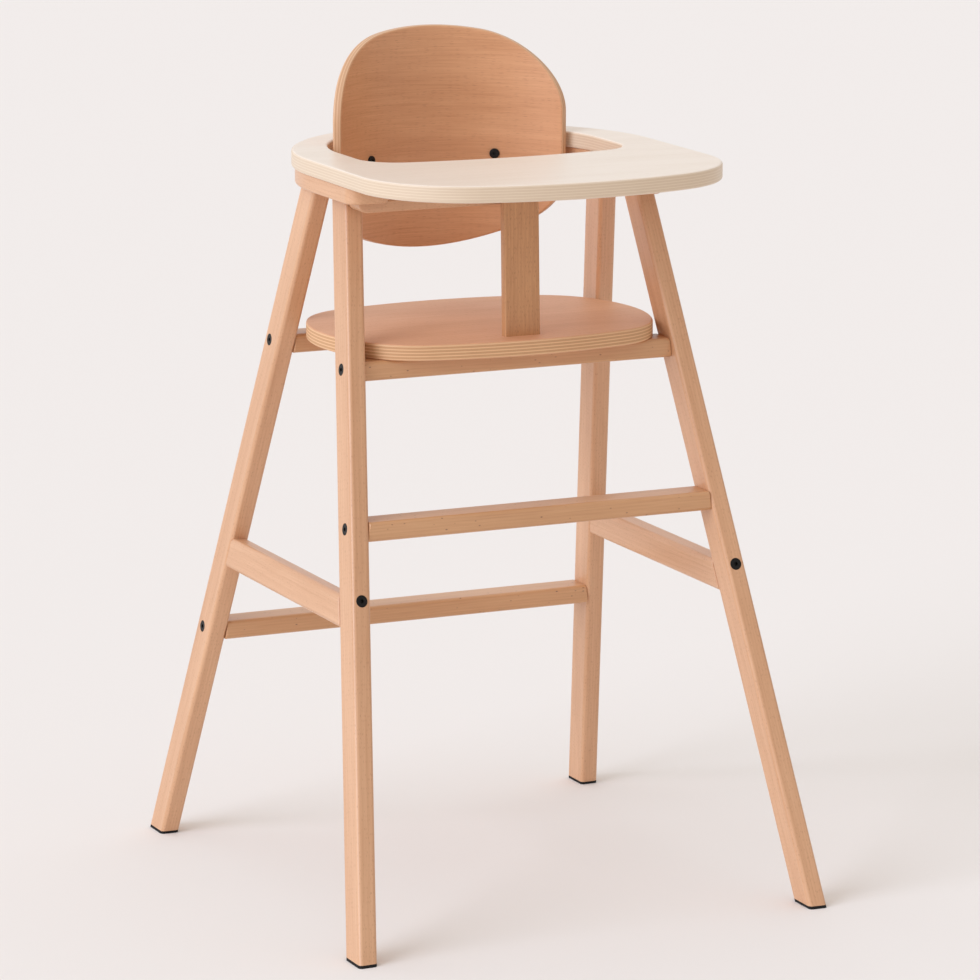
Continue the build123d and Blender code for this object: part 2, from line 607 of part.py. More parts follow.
with BuildPart() as tray:
    with BuildSketch(Plane.XY.offset(ARM_TOP_Z)) as tray_plan:
        with Locations((0, (TRAY_FRONT_Y + TRAY_REAR_CENTRE_Y) / 2)):
            Rectangle(2 * TRAY_HALF_W, TRAY_REAR_CENTRE_Y - TRAY_FRONT_Y)
        with Locations((0, TRAY_FRONT_Y + TRAY_FRONT_BOW_R)):
            Circle(TRAY_FRONT_BOW_R, mode=Mode.INTERSECT)
        fillet(tray_plan.vertices().group_by(Axis.Y)[0], TRAY_FRONT_CORNER_R)
        with Locations((0, TRAY_REAR_CENTRE_Y)):
            Circle(TRAY_HALF_W)
    extrude(amount=TRAY_THICK)
    with BuildSketch(Plane.XY.offset(ARM_TOP_Z)) as cutout_plan:
        with Locations((0, (CUTOUT_FRONT_Y + cutout_rear_y) / 2)):
            Rectangle(2 * CUTOUT_HALF_W, cutout_rear_y - CUTOUT_FRONT_Y)
        with Locations((0, CUTOUT_FRONT_Y + CUTOUT_BOW_R)):
            Circle(CUTOUT_BOW_R, mode=Mode.INTERSECT)
        fillet(cutout_plan.vertices().group_by(Axis.Y)[0], CUTOUT_CORNER_R)
        fillet(cutout_plan.vertices().group_by(Axis.Y)[-1], CUTOUT_HALF_W - 0.1)
    extrude(amount=TRAY_THICK, mode=Mode.SUBTRACT)
    fillet(tray.edges().filter_by(Axis.Z, reverse=True), TRAY_EDGE_R)
    with BuildSketch(Plane.XY.offset(ARM_TOP_Z)):
        with Locations(*peg_spots):
            Circle(PEG_R + PEG_GAP)
        mirror(about=Plane.YZ)
    extrude(amount=PEG_UP + BORE_SPARE, mode=Mode.SUBTRACT)
    with BuildSketch(Plane.XY.offset(ARM_TOP_Z)):
        with Locations(*post_peg_spots):
            Circle(POST_PEG_R + PEG_GAP)
    extrude(amount=PEG_UP + BORE_SPARE, mode=Mode.SUBTRACT)


# --- Fittings -----------------------------------------------------------------------
def socket_bolt(head_r: float, head_deep: float, shank_long: float) -> Part:
    """A socket-head bolt, its head's outer face at z = 0 and its shank downwards."""
    with BuildPart() as bolt:
        with BuildSketch():
            Circle(head_r)
        extrude(amount=-head_deep)
        chamfer(bolt.edges().group_by(Axis.Z)[-1], HEAD_CHAMFER)
        with BuildSketch():
            RegularPolygon(SOCKET_AF / 2, 6, major_radius=False)
        extrude(amount=-head_deep * 0.8, mode=Mode.SUBTRACT)
        with BuildSketch(Plane.XY.offset(-head_deep)):
            Circle(SHANK_R)
        extrude(amount=-shank_long)
    return bolt.part


def barrel_nut() -> Part:
    """A cross-bored barrel nut centred on its bolt, its own axis along z."""
    with BuildPart() as nut:
        Cylinder(NUT_R, NUT_LONG)
        with BuildSketch(Plane.XZ):
            Circle(SHANK_R + FIT_GAP)
        extrude(amount=2 * NUT_R, both=True, mode=Mode.SUBTRACT)
    return nut.part


def wood_screw(long: float) -> Part:
    """A flat-headed wood screw pointing up, its head's face at z = 0."""
    with BuildPart() as screw:
        with BuildSketch():
            Circle(SCREW_HEAD_R)
        extrude(amount=SCREW_HEAD_DEEP - END_PLAY)
        with BuildSketch():
            RegularPolygon(SCREW_DRIVE_R, 4)
        extrude(amount=SCREW_DRIVE_DEEP, mode=Mode.SUBTRACT)
        with BuildSketch(Plane.XY.offset(SCREW_HEAD_DEEP - END_PLAY)):
            Circle(WOOD_SCREW_R)
        extrude(amount=long - SCREW_HEAD_DEEP)
    return screw.part


rail_bolt_seats = [
    Location(outer_plane) * Location((RAILS[rail][2], rail_slope_height(rail), 0)) for rail in RAILS
]
with BuildPart() as rail_bolts:
    with Locations(*rail_bolt_seats):
        add(socket_bolt(HEAD_R, HEAD_DEEP, BAR_THICK - HEAD_DEEP + GRIP_IN_RAIL))
    mirror(about=Plane.YZ)

stretcher_bolt_seats = [
    Location(stretcher_bolt_plane(leg).offset(BAR_WIDE / 2)) for leg in leg_feet_and_tops
]
with BuildPart() as stretcher_bolts:
    with Locations(*stretcher_bolt_seats):
        add(socket_bolt(HEAD_R, HEAD_DEEP, BAR_WIDE - HEAD_DEEP + GRIP_IN_RAIL))
    mirror(about=Plane.YZ)

# Nut planes: z along the nut, y along the bolt.
nut_seats = [
    Location(Plane(origin=rail_nut_plane(rail).origin, x_dir=side_plane.x_dir, z_dir=side_plane.y_dir))
    for rail in RAILS
] + [
    Location(
        Plane(
            origin=stretcher_bolt_plane(leg).offset(-BAR_WIDE / 2 - NUT_INTO_RAIL).origin,
            x_dir=side_plane.z_dir,
            z_dir=leg_plane(leg, 0).z_dir,
        )
    )
    for leg in leg_feet_and_tops
]
with BuildPart() as barrel_nuts:
    with Locations(*nut_seats):
        add(barrel_nut())
    mirror(about=Plane.YZ)

with BuildPart() as frame_dowels:
    for rail in RAILS:
        with BuildSketch(inner_plane.offset(DOWEL_IN_LEG - END_PLAY)):
            with Locations((RAILS[rail][3], rail_slope_height(rail))):
                Circle(DOWEL_R)
        extrude(amount=2 * END_PLAY - DOWEL_IN_LEG - DOWEL_IN_RAIL)
    for leg in leg_feet_and_tops:
        with BuildSketch(stretcher_dowel_plane(leg).offset(DOWEL_IN_LEG - END_PLAY)):
            Circle(DOWEL_R)
        extrude(amount=2 * END_PLAY - DOWEL_IN_LEG - DOWEL_IN_RAIL)
    mirror(about=Plane.YZ)

with BuildPart() as arm_dowels:
    for leg in leg_feet_and_tops:
        with BuildSketch(leg_plane(leg, up_slope(ARM_BOTTOM_Z)).offset(END_PLAY - ARM_DOWEL_DOWN)):
            with Locations(*ARM_DOWEL_SPOTS):
                Circle(ARM_DOWEL_R)
        extrude(amount=ARM_DOWEL_DOWN + ARM_DOWEL_UP - 2 * END_PLAY)
    mirror(about=Plane.YZ)

with BuildPart() as arm_joint_dowels:
    with BuildSketch(ring_joint_plane.offset(END_PLAY - RING_DOWEL_HALF)):
        with Locations(RING_DOWEL_SPOT):
            Circle(ARM_DOWEL_R)
    extrude(amount=2 * (RING_DOWEL_HALF - END_PLAY))
    mirror(about=Plane.YZ)

with BuildPart() as tray_locating_pegs:
    with BuildSketch(Plane.XY.offset(ARM_TOP_Z - PEG_IN_ARM)):
        with Locations(*peg_spots):
            Circle(PEG_R)
    extrude(amount=PEG_IN_ARM + PEG_UP)
    chamfer(tray_locating_pegs.edges().group_by(Axis.Z)[-1], PEG_CHAMFER)
    mirror(about=Plane.YZ)

with BuildPart() as post_pegs:
    with BuildSketch(Plane.XY.offset(ARM_TOP_Z - POST_PEG_IN)):
        with Locations(*post_peg_spots):
            Circle(POST_PEG_R)
    extrude(amount=POST_PEG_IN + PEG_UP)
    chamfer(post_pegs.edges().group_by(Axis.Z)[-1], PEG_CHAMFER)

with BuildPart() as seat_screws:
    with Locations(*[(x, y, SEAT_RAIL_BOTTOM_Z + END_PLAY) for x, y in seat_screw_spots]):
        add(wood_screw(SEAT_SCREW_LONG - 2 * END_PLAY))

with BuildPart() as post_screws:
    with Locations(*[(x, y, SEAT_BOTTOM_Z + END_PLAY) for x, y in post_screw_spots]):
        add(wood_screw(POST_SCREW_LONG - 2 * END_PLAY))

with BuildPart() as front_bar_screws:
    with Locations(*[(x, y, FRONT_BAR_BOTTOM_Z + END_PLAY) for x, y in bar_screw_spots]):
        add(wood_screw(BAR_SCREW_LONG - 2 * END_PLAY))
    mirror(about=Plane.YZ)

back_bolt_seats = [
    Location(back_bolt_plane(side).offset(BACK_HEAD_DEEP + 0.15)) for side in (-1, 1)
]
with BuildPart() as backrest_bolts:
    with Locations(*back_bolt_seats):
        add(socket_bolt(BACK_HEAD_R, BACK_HEAD_DEEP, BACK_THICK + INSERT_LONG + 4))

with BuildPart() as backrest_inserts:
    for side in (-1, 1):
        with BuildSketch(back_bolt_plane(side).offset(-BACK_THICK - 0.8)):
            Circle(INSERT_R)
            Circle(SHANK_R + FIT_GAP, mode=Mode.SUBTRACT)
        extrude(amount=-INSERT_LONG)

# --- Labels and files ---------------------------------------------------------------
pieces = {
    "front_leg_left": front_leg_left,
    "front_leg_right": front_leg_right,
    "rear_leg_left": rear_leg_left,
    "rear_leg_right": rear_leg_right,
    "floor_glides": floor_glides,
    "seat_front_rail": seat_front_rail,
    "seat_rear_rail": seat_rear_rail,
    "footrest_rail": footrest_rail,
    "rear_stretcher": rear_stretcher,
    "side_stretcher_left": side_stretcher_left,
    "side_stretcher_right": side_stretcher_right,
    "left_arm": left_arm,
    "right_arm": right_arm,
    "rear_top_rail": rear_top_rail,
    "front_bar": front_bar,
    "seat_panel": seat_panel,
    "crotch_post": crotch_post,
    "backrest": backrest,
    "tray": tray,
    "rail_bolts": rail_bolts,
    "stretcher_bolts": stretcher_bolts,
    "barrel_nuts": barrel_nuts,
    "frame_dowels": frame_dowels,
    "arm_dowels": arm_dowels,
    "arm_joint_dowels": arm_joint_dowels,
    "tray_locating_pegs": tray_locating_pegs,
    "post_pegs": post_pegs,
    "seat_screws": seat_screws,
    "post_screws": post_screws,
    "front_bar_screws": front_bar_screws,
    "backrest_bolts": backrest_bolts,
    "backrest_inserts": backrest_inserts,
}
for node, piece in pieces.items():
    piece.part.label = node
    export_step(piece.part, f"parts/{node}.step")
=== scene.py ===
"""Looks for a wooden baby high chair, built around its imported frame.

Sizes are in metres, in the frame's own axes: +Z up, the sitter faces -Y, and +X is to the
right seen from the front. Inside a material they are in millimetres. The frame holds the
shapes of all timber parts. This script gives them solid-wood and plywood finishes that run
through the piece, so a face, an edge and an end all show the grain they should, and makes
the fittings that repeat.
"""

from __future__ import annotations

import json
import logging
import math
from dataclasses import dataclass
from enum import Enum
from typing import Any

import bpy
from mathutils import Matrix, Vector

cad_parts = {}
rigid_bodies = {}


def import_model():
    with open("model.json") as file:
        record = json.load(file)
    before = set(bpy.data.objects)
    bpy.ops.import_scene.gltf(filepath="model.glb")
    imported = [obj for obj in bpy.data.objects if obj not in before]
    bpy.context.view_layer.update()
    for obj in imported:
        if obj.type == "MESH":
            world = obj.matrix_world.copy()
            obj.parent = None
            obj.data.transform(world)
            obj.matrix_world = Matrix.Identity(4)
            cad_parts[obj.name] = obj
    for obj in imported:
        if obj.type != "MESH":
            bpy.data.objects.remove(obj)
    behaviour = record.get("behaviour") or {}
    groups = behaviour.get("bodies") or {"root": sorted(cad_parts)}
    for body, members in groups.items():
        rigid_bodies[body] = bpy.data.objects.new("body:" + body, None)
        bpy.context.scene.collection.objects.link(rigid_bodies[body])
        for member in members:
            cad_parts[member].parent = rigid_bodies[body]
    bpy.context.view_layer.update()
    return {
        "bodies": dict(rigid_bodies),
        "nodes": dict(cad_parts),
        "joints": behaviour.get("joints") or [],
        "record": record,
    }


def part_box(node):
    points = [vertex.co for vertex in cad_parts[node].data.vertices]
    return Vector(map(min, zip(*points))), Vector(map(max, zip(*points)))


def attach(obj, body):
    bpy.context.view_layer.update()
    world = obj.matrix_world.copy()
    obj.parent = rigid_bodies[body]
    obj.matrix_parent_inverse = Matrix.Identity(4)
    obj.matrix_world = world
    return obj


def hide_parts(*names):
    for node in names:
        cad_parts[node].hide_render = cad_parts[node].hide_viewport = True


log = logging.getLogger("high_chair")

MM = 0.001
Colour = tuple[float, float, float]
Point = tuple[float, float, float]
ORIGIN: Point = (0.0, 0.0, 0.0)


def srgb(red: float, green: float, blue: float) -> Colour:
    """Linear colour of an sRGB colour given on a 0 to 255 scale.

    Args:
        red: Red, 0 to 255.
        green: Green, 0 to 255.
        blue: Blue, 0 to 255.

    Returns:
        The three linear components.
    """

    def linear(channel: float) -> float:
        """Linear value of one channel."""
        share = channel / 255.0
        return share / 12.92 if share <= 0.04045 else ((share + 0.055) / 1.055) ** 2.4

    return (linear(red), linear(green), linear(blue))


# --- Node trees -----------------------------------------------------------------------
class NodeTree:
    """A tree of nodes, for a surface, the world or geometry."""

    tree: bpy.types.NodeTree

    def node(self, kind: str, settings: dict, values: dict) -> bpy.types.Node:
        """Add one node: its settings first, then the values or links of its sockets.

        Args:
            kind: The node's type.
            settings: Its settings by name.
            values: By socket name or place, a number, colour, vector, socket or Value, or a
                list of sockets that all join there.

        Returns:
            The node.
        """
        made = self.tree.nodes.new(kind)
        for name, setting in settings.items():
            setattr(made, name, setting)
        for name, value in values.items():
            for item in value if isinstance(value, list) else [value]:
                if isinstance(item, Value):
                    item = item.socket
                if isinstance(item, bpy.types.NodeSocket):
                    self.tree.links.new(item, made.inputs[name])
                else:
                    made.inputs[name].default_value = item
        return made


class Value:
    """A number that varies over a surface, written with ordinary arithmetic."""

    def __init__(self, shader: Shader, socket: bpy.types.NodeSocket) -> None:
        """Wrap one output socket.

        Args:
            shader: The node tree that owns the socket.
            socket: The output that carries the number.
        """
        self.shader = shader
        self.socket = socket

    def _maths(self, operation: str, *terms: Any) -> Value:
        """Add one Math node on the given terms."""
        node = self.shader.node(
            "ShaderNodeMath", {"operation": operation}, dict(enumerate(terms))
        )
        return Value(self.shader, node.outputs[0])

    def __add__(self, other: Any) -> Value:
        """Sum."""
        return self._maths("ADD", self, other)

    def __radd__(self, other: Any) -> Value:
        """Sum, number first."""
        return self._maths("ADD", other, self)

    def __sub__(self, other: Any) -> Value:
        """Difference."""
        return self._maths("SUBTRACT", self, other)

    def __rsub__(self, other: Any) -> Value:
        """Difference, number first."""
        return self._maths("SUBTRACT", other, self)

    def __mul__(self, other: Any) -> Value:
        """Product."""
        return self._maths("MULTIPLY", self, other)

    def __rmul__(self, other: Any) -> Value:
        """Product, number first."""
        return self._maths("MULTIPLY", other, self)

    def __truediv__(self, other: Any) -> Value:
        """Quotient."""
        return self._maths("DIVIDE", self, other)

    def __pow__(self, other: Any) -> Value:
        """Power."""
        return self._maths("POWER", self, other)

    def fraction(self) -> Value:
        """Part after the decimal point."""
        return self._maths("FRACT", self)

    def whole(self) -> Value:
        """Largest whole number not above it."""
        return self._maths("FLOOR", self)

    def modulo(self, other: Any) -> Value:
        """Remainder, always positive."""
        return self._maths("FLOORED_MODULO", self, other)

    def root(self) -> Value:
        """Square root."""
        return self._maths("SQRT", self)

    def turn_from(self, other: Value) -> Value:
        """Angle whose tangent is this over the other."""
        return self._maths("ARCTAN2", self, other)

    def least(self, other: Any) -> Value:
        """The smaller of the two."""
        return self._maths("MINIMUM", self, other)

    def most(self, other: Any) -> Value:
        """The larger of the two."""
        return self._maths("MAXIMUM", self, other)

    def step(self, low: float, high: float) -> Value:
        """Smooth rise from 0 at low to 1 at high.

        Args:
            low: Where the rise starts.
            high: Where it ends.

        Returns:
            The smoothed share.
        """
        node = self.shader.node(
            "ShaderNodeMapRange",
            {"interpolation_type": "SMOOTHSTEP"},
            {"Value": self, "From Min": low, "From Max": high},
        )
        return Value(self.shader, node.outputs[0])


class Shader(NodeTree):
    """One material's node tree."""

    def __init__(self, name: str) -> None:
        """Make an empty material.

        Args:
            name: The material's name.
        """
        self.material = bpy.data.materials.new(name)
        self.material.use_nodes = True
        self.tree = self.material.node_tree
        self.tree.nodes.clear()

    def place(self, origin: Point, turn: Matrix) -> Place:
        """Object coordinates in millimetres, seen from a frame of the piece's own.

        Args:
            origin: That frame's origin, in metres.
            turn: Its axes as columns.

        Returns:
            The coordinates.
        """
        coords = self.node("ShaderNodeTexCoord", {}, {})
        mapping = self.node(
            "ShaderNodeMapping",
            {"vector_type": "TEXTURE"},
            {
                "Vector": coords.outputs["Object"],
                "Location": origin,
                "Rotation": turn.to_euler(),
                "Scale": (MM, MM, MM),
            },
        )
        split = self.node("ShaderNodeSeparateXYZ", {}, {0: mapping.outputs[0]})
        return Place(self, *(Value(self, out) for out in split.outputs))

    def mix(self, share: Any, one: Any, other: Any, blend: str = "MIX") -> bpy.types.NodeSocket:
        """Mix two colours.

        Args:
            share: How much of the other shows, 0 to 1.
            one: First colour or socket.
            other: Second colour or socket.
            blend: How they combine.

        Returns:
            The colour socket.
        """
        paints = [(*c, 1.0) if isinstance(c, tuple) else c for c in (one, other)]
        made = self.node(
            "ShaderNodeMix",
            {"data_type": "RGBA", "blend_type": blend},
            {0: share, 6: paints[0], 7: paints[1]},
        )
        return made.outputs[2]

    def bump(self, strength: float, height: Any) -> bpy.types.NodeSocket:
        """A normal tilted by the slope of a height.

        Args:
            strength: How much of the tilt shows.
            height: The height, in millimetres.

        Returns:
            The normal socket.
        """
        values = {"Strength": strength, "Distance": MM, "Height": height}
        return self.node("ShaderNodeBump", {}, values).outputs[0]

    def surface(self, values: dict) -> bpy.types.Material:
        """Finish the material with a Principled surface.

        Args:
            values: The surface's sockets.

        Returns:
            The material.
        """
        made = self.node("ShaderNodeBsdfPrincipled", {}, values)
        self.node("ShaderNodeOutputMaterial", {}, {"Surface": made.outputs[0]})
        return self.material


@dataclass
class Place:
    """Three coordinates in millimetres: along the grain, across it, and through the board."""

    shader: Shader
    along: Value
    across: Value
    through: Value

    def vector(self, along: float, across: float, through: float) -> bpy.types.NodeSocket:
        """The coordinates as one vector, each times its own frequency.

        Args:
            along: Cycles per millimetre along the grain.
            across: Cycles per millimetre across it.
            through: Cycles per millimetre through the board.

        Returns:
            The vector socket.
        """
        joined = self.shader.node(
            "ShaderNodeCombineXYZ",
            {},
            {0: self.along * along, 1: self.across * across, 2: self.through * through},
        )
        return joined.outputs[0]

    def noise(
        self, along: float, across: float, through: float, detail: float = 2.0, rough: float = 0.5
    ) -> Value:
        """Smooth noise from 0 to 1 with its own frequency on each axis.

        Args:
            along: Cycles per millimetre along the grain.
            across: Cycles per millimetre across it.
            through: Cycles per millimetre through the board.
            detail: Octaves of finer noise.
            rough: Strength of the finer octaves.

        Returns:
            The noise.
        """
        made = self.shader.node(
            "ShaderNodeTexNoise",
            {"noise_dimensions": "3D"},
            {
                "Vector": self.vector(along, across, through),
                "Scale": 1.0,
                "Detail": detail,
                "Roughness": rough,
            },
        )
        return Value(self.shader, made.outputs[0])

    def cells(self, along: float, across: float, through: float) -> tuple[Value, Value]:
        """Scattered elongated cells.

        Args:
            along: Cells per millimetre along the grain.
            across: Cells per millimetre across it.
            through: Cells per millimetre through the board.

        Returns:
            Distance from each cell's centre, and the cell's own random number.
        """
        made = self.shader.node(
            "ShaderNodeTexVoronoi",
            {"voronoi_dimensions": "3D"},
            {"Vector": self.vector(along, across, through), "Scale": 1.0, "Randomness": 1.0},
        )
        picked = self.shader.node("ShaderNodeSeparateXYZ", {}, {0: made.outputs["Color"]})
        return Value(self.shader, made.outputs["Distance"]), Value(self.shader, picked.outputs[0])


# --- Finishes -------------------------------------------------------------------------
class Grain(Enum):
    """How a board was cut from the log, as the pith's offset across and through it."""

    FLAT = (12.0, -95.0)
    QUARTER = (-110.0, 10.0)
    RIFT = (75.0, -70.0)


# Noise in a board: cycles per millimetre along, across and through, octaves, roughness.
WANDER = (0.004, 0.02, 0.02, 3.0)
STREAK = (0.010, 0.45, 0.45, 3.0, 0.6)
LINES = (0.022, 2.1, 2.1, 2.0, 0.5)
FIBRE = (0.06, 5.0, 5.0, 3.0, 0.6)
CLOUD = (0.004, 0.03, 0.03, 2.0)
RING_WANDER = 9.0
LATEWOOD_RISE = (0.25, 0.92)
LATEWOOD_FALL = (0.93, 1.0)
FIBRE_DEPTH = 0.40
MID_TONE = 0.45
RAY_EDGE = (0.14, 0.36)
RAY_BLEND = 0.08
FIBRE_RELIEF, RAY_RELIEF, RING_RELIEF = 0.020, 0.018, 0.008
STREAK_GLOSS, RAY_GLOSS = 0.16, 0.10


@dataclass(frozen=True)
class Timber:
    """A solid hardwood with a satin finish: rings, pores and ray flecks run through it."""

    name: str
    pale: Colour
    dark: Colour
    fleck: Colour
    ring_spacing: float = 3.4
    ring_depth: float = 0.12
    streak_depth: float = 0.50
    line_depth: float = 0.55
    cloud_depth: float = 0.80
    fleck_amount: float = 0.70
    fleck_share: float = 0.45
    fleck_size: tuple[float, float] = (3.2, 0.75)
    roughness: float = 0.46
    coat: float = 0.45

    def wood(self, shader: Shader, at: Place, cut: Grain) -> tuple[Any, Value, Value]:
        """The wood's colour, relief and polish at a place in the board.

        Args:
            shader: The material being made.
            at: Coordinates in the board.
            cut: How the board was sawn.

        Returns:
            Colour socket, relief in millimetres and roughness.
        """
        pith_across, pith_through = cut.value
        wander = at.noise(*WANDER)
        radius = (
            (at.across - pith_across) ** 2.0 + (at.through - pith_through) ** 2.0
        ).root() + wander * RING_WANDER
        ring = (radius / self.ring_spacing).fraction()
        latewood = ring.step(*LATEWOOD_RISE) * (1 - ring.step(*LATEWOOD_FALL))
        streak = at.noise(*STREAK)
        lines = at.noise(*LINES)
        fibre = at.noise(*FIBRE)
        broad = at.noise(*CLOUD)
        tone = (
            latewood * self.ring_depth
            + (streak - 0.5) * self.streak_depth
            + (lines - 0.5) * self.line_depth
            + (fibre - 0.5) * FIBRE_DEPTH
            + (broad - 0.5) * self.cloud_depth
            + MID_TONE
        )
        body = shader.mix(tone.most(0.0).least(1.0), self.pale, self.dark)
        long, wide = self.fleck_size
        distance, pick = at.cells(1 / long, 1 / wide, 1 / wide)
        chosen = pick.step(1 - self.fleck_share, 1 + RAY_BLEND - self.fleck_share)
        rays = (1 - distance.step(*RAY_EDGE)) * chosen
        colour = shader.mix(rays * self.fleck_amount, body, self.fleck)
        relief = fibre * FIBRE_RELIEF - rays * RAY_RELIEF + latewood * RING_RELIEF
        gloss = self.roughness + (streak - 0.5) * STREAK_GLOSS + rays * RAY_GLOSS
        return colour, relief, gloss

    def make(
        self, name: str, origin: Point, turn: Matrix, cut: Grain = Grain.RIFT
    ) -> bpy.types.Material:
        """A material for one board.

        Args:
            name: The board's name.
            origin: A point in the board, which also gives it grain of its own.
            turn: Columns along the grain, across it and through the board.
            cut: How the board was sawn.

        Returns:
            The material.
        """
        shader = Shader(f"{self.name}.{name}")
        at = shader.place(origin, turn)
        colour, relief, gloss = self.wood(shader, at, cut)
        return shader.surface(
            {
                "Base Color": colour,
                "Roughness": gloss,
                "Normal": shader.bump(0.55, relief),
                "Coat Weight": self.coat,
                "Coat Roughness": 0.30,
                "Specular IOR Level": 0.6,
            }
        )


# Noise in a sheet's edge, as for a board.
PLY_TONE = (0.02, 0.02, 0.0, 2.0)
PLY_LONG = (0.03, 0.03, 2.4, 3.0)
PLY_END = (1.1, 1.1, 1.6, 2.0)
FACE_BLEND = 0.12
PLY_TURN = 0.1
SEAM_SHARE = 0.13
LONG_GRAIN, LONG_TONE = 0.40, 0.20
END_GRAIN, END_TONE, END_BASE = 0.55, 0.25, 0.35
END_SHADE = 0.45
GLUE_SHARE = 0.65
LONG_RELIEF, SEAM_RELIEF, END_RELIEF = 0.01, 0.05, 0.03


@dataclass(frozen=True)
class Plywood:
    """Cross-laminated veneers: a face sheet each side, and edges that show every layer."""

    name: str
    face: Timber
    light_ply: Colour
    dark_ply: Colour
    glue: Colour
    thickness: float
    plies: int
    face_veneer: float = 0.8

    def layers(
        self, shader: Shader, at: Place, depth: Value, colour: Any, relief: Value
    ) -> tuple[Any, Value, Value]:
        """Lay the veneers into a board.

        Args:
            shader: The material being made.
            at: Coordinates in the sheet.
            depth: Depth below the sheet's upper face, in millimetres.
            colour: The face veneer's colour.
            relief: The face veneer's relief.

        Returns:
            Colour socket, relief, and 1 where an inner layer shows.
        """
        pitch = (self.thickness - 2 * self.face_veneer) / (self.plies - 2)
        into = (depth - self.face_veneer) / pitch
        upper, lower = self.face_veneer, self.thickness - self.face_veneer
        inner = depth.step(upper - FACE_BLEND, upper + FACE_BLEND) * (
            1 - depth.step(lower - FACE_BLEND, lower + FACE_BLEND)
        )
        crosswise = (into.whole().modulo(2.0) - 0.5).step(-PLY_TURN, PLY_TURN)
        within = into.fraction()
        seam = 1 - (within.step(0.0, SEAM_SHARE) * (1 - within.step(1 - SEAM_SHARE, 1.0)))
        tone, grain_long, grain_end = (at.noise(*kind) for kind in (PLY_TONE, PLY_LONG, PLY_END))
        long_share = grain_long * LONG_GRAIN + tone * LONG_TONE
        long_ply = shader.mix(long_share, self.light_ply, self.dark_ply)
        end_share = grain_end * END_GRAIN + tone * END_TONE + END_BASE
        end_ply = shader.mix(end_share, self.light_ply, self.dark_ply)
        ply = shader.mix(crosswise, long_ply, shader.mix(END_SHADE, end_ply, self.dark_ply))
        ply = shader.mix(seam * GLUE_SHARE, ply, self.glue)
        edge_relief = (
            grain_long * LONG_RELIEF - seam * SEAM_RELIEF - crosswise * END_RELIEF * grain_end
        )
        mixed = shader.mix(inner, colour, ply)
        height = relief * (1 - inner) + edge_relief * inner
        return mixed, height, inner

    def finish(self, shader: Shader, at: Place, depth: Value) -> bpy.types.Material:
        """Complete a sheet's material.

        Args:
            shader: The material being made.
            at: Coordinates in the sheet.
            depth: Depth below the sheet's upper face, in millimetres.

        Returns:
            The material.
        """
        colour, relief, gloss = self.face.wood(shader, at, Grain.FLAT)
        colour, relief, inner = self.layers(shader, at, depth, colour, relief)
        return shader.surface(
            {
                "Base Color": colour,
                "Roughness": gloss + inner * 0.10,
                "Normal": shader.bump(0.5, relief),
                "Coat Weight": self.face.coat,
                "Coat Roughness": 0.32,
                "Specular IOR Level": 0.5,
            }
        )

    def flat(self, name: str, top: Point, turn: Matrix) -> bpy.types.Material:
        """A material for a flat sheet.

        Args:
            name: The sheet's name.
            top: A point on its upper face.
            turn: Columns along the face grain, across it and up.

        Returns:
            The material.
        """
        shader = Shader(f"{self.name}.{name}")
        at = shader.place(top, turn)
        return self.finish(shader, at, 0 - at.through)

    def bent(
        self, name: str, axis: Point, radius: float, grain_turn: float = 0.0
    ) -> bpy.types.Material:
        """A material for a sheet bent round an upright axis, seen from inside the bend.

        Args:
            name: The sheet's name.
            axis: A point on the axis, level with the sheet's middle.
            radius: Radius of the hollow face, in millimetres.
            grain_turn: Slope of the grain, in degrees.

        Returns:
            The material.
        """
        shader = Shader(f"{self.name}.{name}")
        flat = shader.place(axis, Matrix.Identity(3))
        reach = (flat.along**2.0 + flat.across**2.0).root()
        round_bend = flat.along.turn_from(flat.across) * radius
        lean = math.tan(math.radians(grain_turn))
        along = round_bend + flat.through * lean
        across = flat.through - round_bend * lean
        at = Place(shader, along, across, reach - radius)
        return self.finish(shader, at, at.through)


METAL_CLOUD = (0.6, 0.6, 0.6, 4.0)
METAL_GRIT = (6.0, 6.0, 6.0, 2.0)
METAL_WORN, METAL_WORN_SHARE = (0.45, 0.85), 0.5
METAL_GLOSS, METAL_RELIEF = 0.25, 0.02
RUBBER_MOTTLE = (0.9, 0.9, 0.9, 4.0)
RUBBER_GRIT = (4.0, 4.0, 4.0, 2.0)
RUBBER_LOW, RUBBER_DUSTY, RUBBER_DUST_SHARE = (0.2, 2.2), (0.45, 0.7), 0.35
RUBBER_ROUGH, RUBBER_GLOSS, RUBBER_RELIEF = 0.74, 0.14, 0.05


@dataclass(frozen=True)
class Metal:
    """A plated or blackened fastener metal with fine turning marks."""

    name: str
    colour: Colour
    worn: Colour
    roughness: float
    metallic: float = 1.0

    def make(self) -> bpy.types.Material:
        """The material.

        Returns:
            The material.
        """
        shader = Shader(self.name)
        at = shader.place(ORIGIN, Matrix.Identity(3))
        cloud = at.noise(*METAL_CLOUD)
        grit = at.noise(*METAL_GRIT)
        colour = shader.mix(cloud.step(*METAL_WORN) * METAL_WORN_SHARE, self.colour, self.worn)
        return shader.surface(
            {
                "Base Color": colour,
                "Roughness": self.roughness + (cloud - 0.5) * METAL_GLOSS,
                "Metallic": self.metallic,
                "Normal": shader.bump(0.3, grit * METAL_RELIEF),
                "Specular IOR Level": 0.3,
            }
        )


